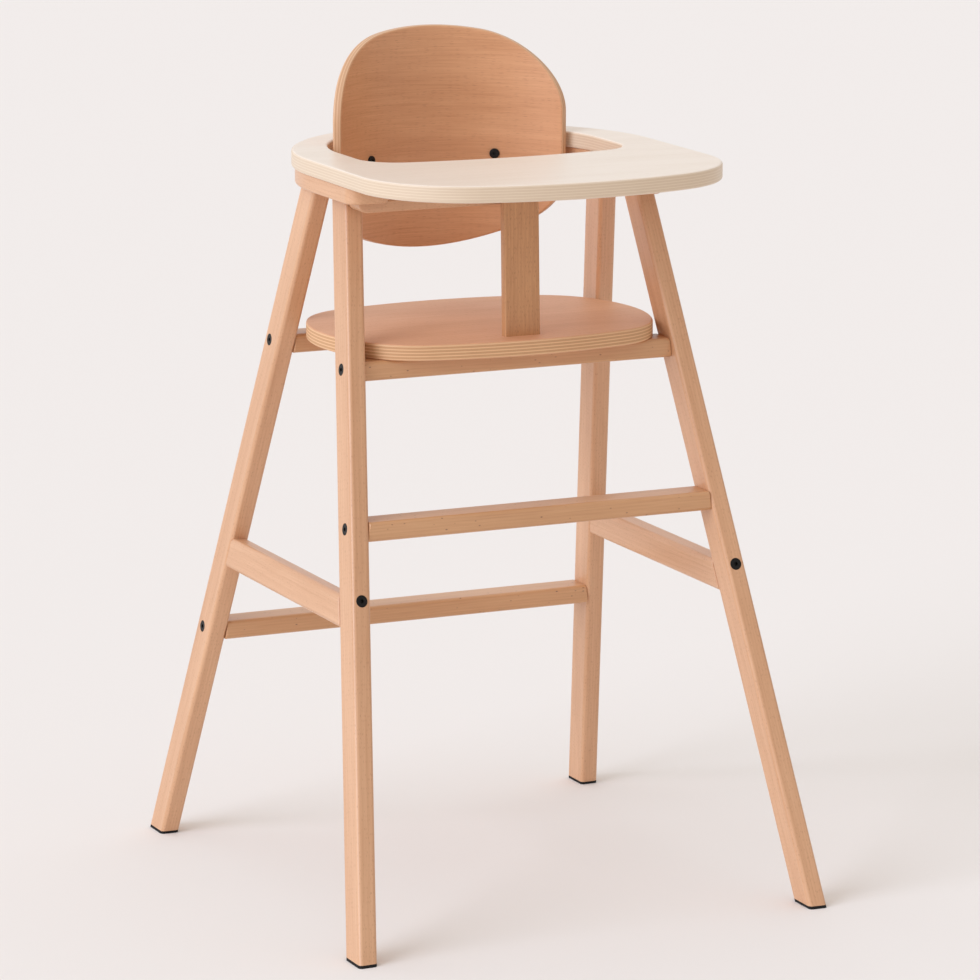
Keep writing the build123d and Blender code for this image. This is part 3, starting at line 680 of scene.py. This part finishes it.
@dataclass(frozen=True)
class Rubber:
    """Black glide rubber, matt, scuffed near the floor."""

    name: str
    colour: Colour
    dust: Colour

    def make(self) -> bpy.types.Material:
        """The material.

        Returns:
            The material.
        """
        shader = Shader(self.name)
        at = shader.place(ORIGIN, Matrix.Identity(3))
        mottle = at.noise(*RUBBER_MOTTLE)
        grit = at.noise(*RUBBER_GRIT)
        low = 1 - at.through.step(*RUBBER_LOW)
        scuffed = low * mottle.step(*RUBBER_DUSTY)
        return shader.surface(
            {
                "Base Color": shader.mix(scuffed * RUBBER_DUST_SHARE, self.colour, self.dust),
                "Roughness": RUBBER_ROUGH + mottle * RUBBER_GLOSS,
                "Normal": shader.bump(0.4, grit * RUBBER_RELIEF),
                "Specular IOR Level": 0.35,
            }
        )


BEECH = Timber(
    "beech",
    pale=srgb(227, 179, 139),
    dark=srgb(193, 138, 96),
    fleck=srgb(146, 92, 54),
    fleck_amount=0.45,
    fleck_size=(4.5, 0.8),
)
RAIL_BEECH = Timber(
    "rail_beech",
    pale=srgb(220, 170, 124),
    dark=srgb(182, 126, 80),
    fleck=srgb(104, 56, 28),
    fleck_amount=0.80,
    fleck_share=0.09,
    fleck_size=(4.6, 2.3),
    coat=0.35,
)
SEAT_FACE = Timber(
    "seat_veneer",
    pale=srgb(233, 180, 141),
    dark=srgb(208, 150, 110),
    fleck=srgb(168, 110, 76),
    ring_depth=0.08,
    fleck_amount=0.35,
    fleck_size=(6.0, 0.8),
    roughness=0.52,
    coat=0.0,
)
BACK_FACE = Timber(
    "back_veneer",
    pale=srgb(228, 173, 129),
    dark=srgb(194, 134, 90),
    fleck=srgb(146, 92, 56),
    ring_depth=0.08,
    streak_depth=0.60,
    line_depth=1.05,
    cloud_depth=0.90,
    fleck_amount=0.30,
    fleck_share=0.55,
    fleck_size=(9.0, 0.85),
    roughness=0.42,
    coat=0.20,
)
TRAY_FACE = Timber(
    "tray_veneer",
    pale=srgb(243, 228, 212),
    dark=srgb(228, 209, 188),
    fleck=srgb(206, 180, 156),
    ring_spacing=7.0,
    ring_depth=0.06,
    fleck_amount=0.25,
    fleck_size=(7.0, 0.9),
    roughness=0.38,
    coat=0.30,
)
POST_BEECH = Timber(
    "post_beech",
    pale=srgb(210, 156, 106),
    dark=srgb(168, 112, 68),
    fleck=srgb(122, 74, 42),
    ring_depth=0.14,
    line_depth=0.80,
    fleck_amount=0.50,
    fleck_size=(5.0, 0.8),
    coat=0.25,
)
DOWEL_WOOD = Timber(
    "dowel_wood",
    pale=srgb(222, 184, 146),
    dark=srgb(196, 152, 114),
    fleck=srgb(160, 112, 78),
)
BLACK_STEEL = Metal("black_steel", srgb(11, 10, 10), srgb(34, 32, 30), 0.50, 0.0)
ZINC_STEEL = Metal("zinc_steel", srgb(176, 174, 168), srgb(140, 138, 130), 0.34)
GLIDE_RUBBER = Rubber("glide_rubber", srgb(17, 16, 16), srgb(62, 56, 52))


# --- Fittings that repeat -------------------------------------------------------------
class Drive(Enum):
    """How a fastener is turned, as the corners of its recess."""

    HEX = 6
    CROSS = 4


@dataclass
class Seat:
    """Where one fastener sits: the middle of its head's face, and the way it faces."""

    spot: Vector
    facing: Vector


@dataclass
class Fastener:
    """One kind of fastener, set wherever these nodes of the frame have one."""

    nodes: tuple[str, ...]
    slot: str
    drive: Drive
    head_radius: float
    head_deep: float
    shank_radius: float
    recess_radius: float
    recess_deep: float
    rim: float = 0.5 * MM
    domed: float = 0.0
    steps: int = 40


WELD = MM / 100
AXIS_ROUNDS = 12
HEAD_BAND = 0.12


def solids_of(node: bpy.types.Object) -> list[list[Vector]]:
    """The corners of each separate solid of a frame node.

    Args:
        node: The frame's object.

    Returns:
        One list of points for each solid.
    """
    mesh = node.data
    keys: dict[tuple[int, int, int], int] = {}
    place = [
        keys.setdefault(tuple(round(c / WELD) for c in vertex.co), len(keys))
        for vertex in mesh.vertices
    ]
    leader = list(range(len(keys)))

    def find(item: int) -> int:
        """The solid's first corner."""
        while leader[item] != item:
            leader[item] = leader[leader[item]]
            item = leader[item]
        return item

    for edge in mesh.edges:
        first, second = (find(place[v]) for v in edge.vertices)
        leader[max(first, second)] = min(first, second)
    groups: dict[int, list[Vector]] = {}
    for vertex in mesh.vertices:
        groups.setdefault(find(place[vertex.index]), []).append(vertex.co.copy())
    return [groups[key] for key in sorted(groups)]


def seat_of(points: list[Vector], head_radius: float) -> Seat:
    """Find a turned fastener's head from its corners.

    Args:
        points: The fastener's corners.
        head_radius: Its head's radius.

    Returns:
        Where its head is and the way it faces.
    """
    middle = sum(points, Vector()) / len(points)
    far = max(points, key=lambda p: (p - middle).length)
    other = max(points, key=lambda p: (p - far).length)
    axis = (far - other).normalized()
    for _ in range(AXIS_ROUNDS):
        spread = Matrix(((0.0,) * 3,) * 3)
        for point in points:
            offset = point - middle
            for row in range(3):
                for column in range(3):
                    spread[row][column] += offset[row] * offset[column]
        axis = (spread @ axis).normalized()
    along = [(p - middle).dot(axis) for p in points]
    low, high = min(along), max(along)

    def girth(level: float) -> float:
        """Widest reach of the corners near one end."""
        near = [p for p, s in zip(points, along) if abs(s - level) < head_radius * HEAD_BAND]
        return max(((p - middle) - axis * (p - middle).dot(axis)).length for p in near)

    facing, level = (axis, high) if girth(high) > girth(low) else (-axis, -low)
    return Seat(middle + facing * level, facing)


class FastenerTree(NodeTree):
    """Geometry Nodes that turn one fastener and set a copy at every marked point."""

    sizes = (
        "Head radius", "Head depth", "Rim", "Dome",
        "Shank radius", "Shank length", "Recess radius", "Recess depth",
    )
    rim_steps = 4
    crown_reach = 0.62
    crown_drop = 0.3
    tip_taper = 0.8
    tip_bevel = 0.3
    weld = MM / 200

    def __init__(self, name: str) -> None:
        """Make an empty tree with a mesh input and output.

        Args:
            name: The tree's name.
        """
        self.tree = bpy.data.node_groups.new(name, "GeometryNodeTree")
        self.keys: dict[str, str] = {}
        self._socket("Seats", "NodeSocketGeometry")
        self.tree.interface.new_socket(
            "Fasteners", in_out="OUTPUT", socket_type="NodeSocketGeometry"
        )
        for size in self.sizes:
            self._socket(size, "NodeSocketFloat")
        for count in ("Corners", "Steps"):
            self._socket(count, "NodeSocketInt")
        self._socket("Finish", "NodeSocketMaterial")
        self.start = self.node("NodeGroupInput", {}, {})
        self._build()

    def _socket(self, name: str, kind: str) -> None:
        """Add one named input."""
        made = self.tree.interface.new_socket(name, in_out="INPUT", socket_type=kind)
        self.keys[name] = made.identifier

    def _maths(self, operation: str, one: Any, other: Any) -> bpy.types.NodeSocket:
        """Add one Math node."""
        made = self.node("ShaderNodeMath", {"operation": operation}, {0: one, 1: other})
        return made.outputs[0]

    def _lifted(self, mesh: bpy.types.NodeSocket, height: Any) -> bpy.types.NodeSocket:
        """Raise a mesh along Z."""
        offset = self.node("ShaderNodeCombineXYZ", {}, {2: height}).outputs[0]
        moved = self.node("GeometryNodeTransform", {}, {"Geometry": mesh, "Translation": offset})
        return moved.outputs[0]

    def _ring(self, top: tuple[Any, Any], bottom: tuple[Any, Any]) -> bpy.types.NodeSocket:
        """Join two turned circles, each given as radius and depth below the head's face.

        Args:
            top: Radius and depth of the upper circle.
            bottom: Radius and depth of the lower one.

        Returns:
            The band between them.
        """
        band = self.node(
            "GeometryNodeMeshCone",
            {"fill_type": "NONE"},
            {
                "Vertices": self.start.outputs["Steps"],
                "Radius Top": top[0],
                "Radius Bottom": bottom[0],
                "Depth": self._maths("SUBTRACT", bottom[1], top[1]),
            },
        ).outputs["Mesh"]
        return self._lifted(band, self._maths("MULTIPLY", bottom[1], -1.0))

    def _cap(self, radius: Any, depth: Any, upwards: bool) -> bpy.types.NodeSocket:
        """Close an end of the turned shape."""
        disc = self.node(
            "GeometryNodeMeshCircle",
            {"fill_type": "NGON"},
            {"Vertices": self.start.outputs["Steps"], "Radius": radius},
        ).outputs[0]
        if not upwards:
            disc = self.node("GeometryNodeFlipFaces", {}, {"Mesh": disc}).outputs[0]
        return self._lifted(disc, self._maths("MULTIPLY", depth, -1.0))

    def _build(self) -> None:
        """Turn the fastener, cut its recess, and set copies on the seats."""
        size = self.start.outputs
        head, deep, rim, dome = size["Head radius"], size["Head depth"], size["Rim"], size["Dome"]
        arc = []
        for step in range(self.rim_steps + 1):
            angle = math.radians(90.0 * step / self.rim_steps)
            inset = self._maths("MULTIPLY", rim, 1.0 - math.sin(angle))
            drop = self._maths("MULTIPLY", rim, 1.0 - math.cos(angle))
            arc.append((self._maths("SUBTRACT", head, inset), self._maths("ADD", dome, drop)))
        crown = (
            self._maths("MULTIPLY", head, self.crown_reach),
            self._maths("MULTIPLY", dome, self.crown_drop),
        )
        tip = self._maths("ADD", deep, size["Shank length"])
        point = self._maths("MULTIPLY", size["Shank radius"], self.tip_taper)
        bevel = self._maths("MULTIPLY", size["Shank radius"], self.tip_bevel)
        shoulder = self._maths("SUBTRACT", tip, bevel)
        profile = [
            crown,
            *arc,
            (head, deep),
            (size["Shank radius"], deep),
            (size["Shank radius"], shoulder),
            (point, tip),
        ]
        parts = [self._cap(crown[0], crown[1], True), self._cap(point, tip, False)]
        parts += [self._ring(top, bottom) for top, bottom in zip(profile, profile[1:])]
        joined = self.node("GeometryNodeJoinGeometry", {}, {0: parts})
        turned = self.node(
            "GeometryNodeMergeByDistance",
            {},
            {"Geometry": joined.outputs[0], "Distance": self.weld},
        )
        cutter = self.node(
            "GeometryNodeMeshCylinder",
            {"fill_type": "NGON"},
            {
                "Vertices": size["Corners"],
                "Radius": size["Recess radius"],
                "Depth": self._maths("MULTIPLY", size["Recess depth"], 2.0),
            },
        )
        bored = self.node(
            "GeometryNodeMeshBoolean",
            {"operation": "DIFFERENCE", "solver": "EXACT"},
            {"Mesh 1": turned.outputs[0], "Mesh 2": cutter.outputs["Mesh"]},
        )
        facing = self.node(
            "GeometryNodeInputNamedAttribute", {"data_type": "FLOAT_VECTOR"}, {"Name": "facing"}
        )
        turn = self.node(
            "FunctionNodeAlignRotationToVector", {"axis": "Z"}, {"Vector": facing.outputs[0]}
        )
        copies = self.node(
            "GeometryNodeInstanceOnPoints",
            {},
            {"Points": size["Seats"], "Instance": bored.outputs[0], "Rotation": turn.outputs[0]},
        )
        real = self.node("GeometryNodeRealizeInstances", {}, {0: copies.outputs[0]})
        dressed = self.node(
            "GeometryNodeSetMaterial", {}, {"Geometry": real.outputs[0], "Material": size["Finish"]}
        )
        self.node("NodeGroupOutput", {}, {0: dressed.outputs[0]})


@dataclass
class Fittings:
    """Every visible bolt and screw, turned once by size and set where the frame has it."""

    body: str = "frame"
    kinds: tuple[Fastener, ...] = (
        Fastener(
            ("rail_bolts", "stretcher_bolts"), "black_steel", Drive.HEX,
            6.2 * MM, 3.0 * MM, 3.0 * MM, 2.31 * MM, 2.4 * MM,
        ),
        Fastener(
            ("backrest_bolts",), "black_steel", Drive.HEX,
            5.3 * MM, 2.2 * MM, 3.0 * MM, 2.31 * MM, 1.7 * MM, rim=0.9 * MM, domed=0.15 * MM,
        ),
        Fastener(
            ("seat_screws", "post_screws", "front_bar_screws"), "zinc_steel", Drive.CROSS,
            4.0 * MM, 1.4 * MM, 2.0 * MM, 1.4 * MM, 1.0 * MM,
        ),
    )

    def build(self, frame: dict, finishes: dict[str, bpy.types.Material]) -> None:
        """Make every kind of fastener.

        Args:
            frame: The loaded frame.
            finishes: Material by record slot.
        """
        tree = FastenerTree("turned_fastener")
        for kind, node in ((kind, node) for kind in self.kinds for node in kind.nodes):
            solids = solids_of(frame["nodes"][node])
            seats = [seat_of(points, kind.head_radius) for points in solids]
            piece = self._set(kind, node, seats, solids, tree, finishes[kind.slot])
            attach(piece, self.body)
            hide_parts(node)
            log.info("%s: %d turned", piece.name, len(seats))

    @staticmethod
    def _set(
        kind: Fastener,
        node: str,
        seats: list[Seat],
        solids: list[list[Vector]],
        tree: FastenerTree,
        finish: bpy.types.Material,
    ) -> bpy.types.Object:
        """Run the tree on one node's seats.

        Args:
            kind: The fastener.
            node: The frame node that it replaces.
            seats: Where its copies go.
            solids: The frame's own corners of each, for the length.
            tree: The nodes.
            finish: Its metal.

        Returns:
            The piece, a plain mesh.
        """
        mesh = bpy.data.meshes.new(f"{node}_seats")
        mesh.from_pydata([seat.spot for seat in seats], [], [])
        facing = mesh.attributes.new("facing", "FLOAT_VECTOR", "POINT")
        for item, seat in zip(facing.data, seats):
            item.vector = seat.facing
        holder = bpy.data.objects.new(f"{node}_holder", mesh)
        bpy.context.scene.collection.objects.link(holder)
        first = seats[0]
        length = max((first.spot - p).dot(first.facing) for p in solids[0])
        modifier = holder.modifiers.new("fasteners", "NODES")
        modifier.node_group = tree.tree
        for name, value in {
            "Head radius": kind.head_radius,
            "Head depth": kind.head_deep,
            "Rim": kind.rim,
            "Dome": kind.domed,
            "Shank radius": kind.shank_radius,
            "Shank length": length - kind.head_deep,
            "Recess radius": kind.recess_radius,
            "Recess depth": kind.recess_deep,
            "Corners": kind.drive.value,
            "Steps": kind.steps,
            "Finish": finish,
        }.items():
            modifier[tree.keys[name]] = value
        graph = bpy.context.evaluated_depsgraph_get()
        solid = bpy.data.meshes.new_from_object(holder.evaluated_get(graph))
        bpy.data.objects.remove(holder)
        name = f"{node}_turned"
        solid.name = name
        piece = bpy.data.objects.new(name, solid)
        bpy.context.scene.collection.objects.link(piece)
        return piece


# --- Timber parts ---------------------------------------------------------------------
def grain_frame(along: Vector, across: Vector) -> Matrix:
    """Axes of a board: along its grain, across it and through it, as columns.

    Args:
        along: Direction of the grain.
        across: Rough direction across the face.

    Returns:
        The rotation.
    """
    first = along.normalized()
    second = (across - first * across.dot(first)).normalized()
    return Matrix((first, second, first.cross(second))).transposed()


def dress(node: bpy.types.Object, material: bpy.types.Material) -> None:
    """Give a frame node one material.

    Args:
        node: The node's object.
        material: Its new material.
    """
    if not node.material_slots:
        node.data.materials.append(material)
    for held in node.material_slots:
        held.material = material


def middle(node: str) -> Vector:
    """The middle of a node's box."""
    low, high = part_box(node)
    return (low + high) / 2


# Grain origins step this far, in metres, so that no two boards match.
LEG_STEP = (0.31, -0.17)
ARM_STEP = (-0.02, 0.23)
POST_SHIFT = (0.01, 0.4)


@dataclass
class LegFrame:
    """Four splayed legs with their rails, stretchers and floor glides."""

    bar_thick: float = 20.0 * MM
    bar_wide: float = 35.0 * MM
    cuts: tuple[Grain, ...] = (Grain.RIFT, Grain.FLAT, Grain.QUARTER)
    cross_rails: tuple[str, ...] = (
        "seat_front_rail", "seat_rear_rail", "footrest_rail", "rear_stretcher",
    )
    side_rails: tuple[str, ...] = ("side_stretcher_left", "side_stretcher_right")
    first_cross: int = 5
    first_side: int = 11

    def leg_line(self, node: str) -> Vector:
        """Direction up a leg, from its box: it leans in and towards the middle.

        Args:
            node: The leg's name.

        Returns:
            The direction.
        """
        low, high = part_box(node)
        centre, span = (low + high) / 2, high - low
        inwards = -math.copysign(span.x - self.bar_thick, centre.x)
        towards = -math.copysign(span.y - self.bar_wide, centre.y)
        return Vector((inwards, towards, span.z))

    def build(self, frame: dict, finishes: dict[str, bpy.types.Material]) -> None:
        """Dress every part.

        Args:
            frame: The loaded frame.
            finishes: Material by record slot.
        """
        nodes = frame["nodes"]
        legs = [f"{end}_leg_{side}" for end in ("front", "rear") for side in ("left", "right")]
        for number, leg in enumerate(legs):
            turn = grain_frame(self.leg_line(leg), Vector((0, 1, 0)))
            cut = self.cuts[number % len(self.cuts)]
            dress(nodes[leg], BEECH.make(leg, self._start(leg, number), turn, cut))
        turn = grain_frame(Vector((1, 0, 0)), Vector((0, 1, 0)))
        for number, rail in enumerate(self.cross_rails):
            cut = self.cuts[(number + 1) % len(self.cuts)]
            start = self._start(rail, number + self.first_cross)
            dress(nodes[rail], RAIL_BEECH.make(rail, start, turn, cut))
        turn = grain_frame(Vector((0, 1, 0)), Vector((0, 0, 1)))
        for number, rail in enumerate(self.side_rails, self.first_side):
            dress(nodes[rail], BEECH.make(rail, self._start(rail, number), turn))
        dress(nodes["floor_glides"], finishes["glide_rubber"])
        log.info("leg frame: %d boards", len(legs) + len(self.cross_rails) + len(self.side_rails))

    @staticmethod
    def _start(node: str, number: int) -> Point:
        """A grain origin of the board's own, so that no two boards match."""
        spot = middle(node)
        return (spot.x + LEG_STEP[0] * number, spot.y, spot.z + LEG_STEP[1] * number)


@dataclass
class ArmRing:
    """Two arms, the rear rail that joins them, and the bar across their front ends."""

    boards: tuple[tuple[str, Point, Point], ...] = (
        ("left_arm", (0.0, 1.0, 0.0), (1.0, 0.0, 0.0)),
        ("right_arm", (0.0, 1.0, 0.0), (1.0, 0.0, 0.0)),
        ("rear_top_rail", (1.0, 0.0, 0.0), (0.0, 1.0, 0.0)),
        ("front_bar", (1.0, 0.0, 0.0), (0.0, 1.0, 0.0)),
    )

    def build(self, frame: dict) -> None:
        """Dress every part.

        Args:
            frame: The loaded frame.
        """
        for number, (node, along, across) in enumerate(self.boards):
            turn = grain_frame(Vector(along), Vector(across))
            spot = middle(node)
            start = (spot.x + ARM_STEP[0] * number, spot.y + ARM_STEP[1] * number, spot.z)
            dress(frame["nodes"][node], BEECH.make(node, start, turn, Grain.FLAT))
        log.info("arm ring: %d boards", len(self.boards))


@dataclass
class SeatUnit:
    """The oval plywood seat and the post that stands on its front edge."""

    seat_plies: int = 11
    seat_node: str = "seat_panel"
    post_node: str = "crotch_post"

    def build(self, frame: dict) -> None:
        """Dress every part.

        Args:
            frame: The loaded frame.
        """
        low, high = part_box(self.seat_node)
        sheet = Plywood(
            "seat_plywood",
            SEAT_FACE,
            light_ply=srgb(238, 195, 150),
            dark_ply=srgb(194, 142, 98),
            glue=srgb(152, 102, 68),
            thickness=(high.z - low.z) / MM,
            plies=self.seat_plies,
        )
        turn = Matrix.Identity(3)
        dress(frame["nodes"][self.seat_node], sheet.flat("seat", (0.0, 0.0, high.z), turn))
        post = middle(self.post_node)
        upright = grain_frame(Vector((0, 0, 1)), Vector((1, 0, 0)))
        start = (post.x + POST_SHIFT[0], post.y, post.z + POST_SHIFT[1])
        dress(frame["nodes"][self.post_node], POST_BEECH.make("post", start, upright))
        log.info("seat unit: %s and %s", self.seat_node, self.post_node)


@dataclass
class Backrest:
    """The moulded backrest, bent about an upright axis behind the sitter."""

    node: str = "backrest"
    radius: float = 150.0
    thickness: float = 9.0
    plies: int = 7

    def build(self, frame: dict) -> None:
        """Dress the sheet.

        Args:
            frame: The loaded frame.
        """
        low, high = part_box(self.node)
        axis = (0.0, high.y - (self.radius + self.thickness) * MM, (low.z + high.z) / 2)
        sheet = Plywood(
            "back_plywood",
            BACK_FACE,
            light_ply=srgb(228, 186, 146),
            dark_ply=srgb(198, 148, 108),
            glue=srgb(160, 112, 78),
            thickness=self.thickness,
            plies=self.plies,
            face_veneer=0.7,
        )
        dress(frame["nodes"][self.node], sheet.bent("back", axis, self.radius, grain_turn=-1.5))
        log.info("backrest: %s", self.node)


@dataclass
class Tray:
    """The whitened plywood ring tray."""

    node: str = "tray"
    plies: int = 13

    def build(self, frame: dict) -> None:
        """Dress the sheet.

        Args:
            frame: The loaded frame.
        """
        low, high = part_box(self.node)
        sheet = Plywood(
            "tray_plywood",
            TRAY_FACE,
            light_ply=srgb(231, 211, 186),
            dark_ply=srgb(216, 192, 164),
            glue=srgb(202, 168, 138),
            thickness=(high.z - low.z) / MM,
            plies=self.plies,
        )
        dress(frame["nodes"][self.node], sheet.flat("tray", (0.0, 0.0, high.z), Matrix.Identity(3)))
        log.info("tray: %s", self.node)


@dataclass
class HiddenFixings:
    """Dowels, pegs, nuts and inserts, seen only when the tray is off or from below."""

    wooden: tuple[str, ...] = (
        "frame_dowels", "arm_dowels", "arm_joint_dowels", "tray_locating_pegs", "post_pegs",
    )
    metal: tuple[str, ...] = ("barrel_nuts", "backrest_inserts")

    def build(self, frame: dict, finishes: dict[str, bpy.types.Material]) -> None:
        """Dress every part.

        Args:
            frame: The loaded frame.
            finishes: Material by record slot.
        """
        turn = grain_frame(Vector((0, 0, 1)), Vector((1, 0, 0)))
        pegs = DOWEL_WOOD.make("pegs", ORIGIN, turn)
        for node in self.wooden:
            dress(frame["nodes"][node], pegs)
        for node in self.metal:
            dress(frame["nodes"][node], finishes["zinc_steel"])
        log.info("hidden fixings: %d nodes", len(self.wooden) + len(self.metal))


# --- Studio ---------------------------------------------------------------------------
class Sky(Shader):
    """The world's node tree: soft light from all round, dimmer on one side."""

    def __init__(self, name: str) -> None:
        """Make an empty world.

        Args:
            name: The world's name.
        """
        self.world = bpy.data.worlds.new(name)
        self.world.use_nodes = True
        self.tree = self.world.node_tree
        self.tree.nodes.clear()

    def glow(self, towards: Point, bright: Colour, dim: Colour) -> bpy.types.World:
        """Fill the world with light that fades from one side to the other.

        Args:
            towards: Direction of the bright side.
            bright: Light from that side.
            dim: Light from the side opposite.

        Returns:
            The world.
        """
        coords = self.node("ShaderNodeTexCoord", {}, {})
        split = self.node("ShaderNodeSeparateXYZ", {}, {0: coords.outputs["Generated"]})
        way = Vector(towards).normalized()
        facing = sum(Value(self, out) * part for out, part in zip(split.outputs, way))
        colour = self.mix(facing.step(-1.0, 0.9), dim, bright)
        light = self.node("ShaderNodeBackground", {}, {"Color": colour, "Strength": 1.0})
        self.node("ShaderNodeOutputWorld", {}, {"Surface": light.outputs[0]})
        return self.world


@dataclass
class Softlight:
    """One broad soft light, far enough away to fall evenly."""

    name: str
    towards: Point
    strength: float
    spread: float
    tint: Colour = (1.0, 1.0, 1.0)


@dataclass
class Studio:
    """A pale floor, soft light from the left, and the camera."""

    floor_side: float = 60.0
    floor_colour: Colour = srgb(237, 231, 226)
    bright_side: Point = (-0.45, 0.80, 0.40)
    bright: Colour = (0.86, 0.86, 0.865)
    dim: Colour = (0.53, 0.49, 0.455)
    eye: Point = (-2.1722, -4.7678, 1.4938)
    yaw: float = 24.614
    pitch: float = 11.725
    roll: float = 0.089
    lens: float = 188.45
    sensor: float = 36.0
    lights: tuple[Softlight, ...] = (
        Softlight("key", (-0.86, -0.22, 0.42), 1.60, 42.0, (0.91, 1.0, 1.19)),
        Softlight("overhead", (0.10, 0.25, 1.0), 0.30, 80.0),
    )

    def build(self) -> None:
        """Make the floor, the lights and the camera."""
        self._floor()
        bpy.context.scene.world = Sky("studio").glow(self.bright_side, self.bright, self.dim)
        for light in self.lights:
            self._light(light)
        self._camera()
        bpy.context.scene.view_settings.view_transform = "Standard"

    def _floor(self) -> None:
        """A plain pale floor."""
        half = self.floor_side / 2
        mesh = bpy.data.meshes.new("studio_floor")
        edge = [(-half, -half, 0), (half, -half, 0), (half, half, 0), (-half, half, 0)]
        mesh.from_pydata(edge, [], [(0, 1, 2, 3)])
        floor = bpy.data.objects.new("studio_floor", mesh)
        bpy.context.scene.collection.objects.link(floor)
        shader = Shader("studio_floor")
        matt = {
            "Base Color": (*self.floor_colour, 1.0), "Roughness": 1.0, "Specular IOR Level": 0.0,
        }
        floor.data.materials.append(shader.surface(matt))

    @staticmethod
    def _light(light: Softlight) -> None:
        """Make one soft light."""
        lamp = bpy.data.lights.new(light.name, "SUN")
        lamp.angle = math.radians(light.spread)
        lamp.energy = light.strength
        lamp.color = light.tint
        holder = bpy.data.objects.new(light.name, lamp)
        holder.rotation_euler = (-Vector(light.towards)).to_track_quat("-Z", "Y").to_euler()
        bpy.context.scene.collection.objects.link(holder)

    def _camera(self) -> None:
        """Make the camera."""
        yaw, pitch = math.radians(self.yaw), math.radians(self.pitch)
        look = Vector(
            (math.sin(yaw) * math.cos(pitch), math.cos(yaw) * math.cos(pitch), -math.sin(pitch))
        )
        data = bpy.data.cameras.new("camera")
        data.lens = self.lens
        data.sensor_width = self.sensor
        camera = bpy.data.objects.new("camera", data)
        camera.location = self.eye
        level = look.to_track_quat("-Z", "Y").to_matrix()
        roll = Matrix.Rotation(math.radians(self.roll), 3, "Z")
        camera.rotation_euler = (level @ roll).to_euler()
        bpy.context.scene.collection.objects.link(camera)
        bpy.context.scene.camera = camera


def main() -> None:
    """Build the high chair's looks round its frame, then finish."""
    logging.basicConfig(level=logging.INFO, format="%(message)s")
    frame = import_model()
    Studio().build()
    finishes = {
        "black_steel": BLACK_STEEL.make(),
        "zinc_steel": ZINC_STEEL.make(),
        "glide_rubber": GLIDE_RUBBER.make(),
    }
    LegFrame().build(frame, finishes)
    ArmRing().build(frame)
    SeatUnit().build(frame)
    Backrest().build(frame)
    Tray().build(frame)
    HiddenFixings().build(frame, finishes)
    Fittings().build(frame, finishes)


if __name__ == "__main__":
    main()
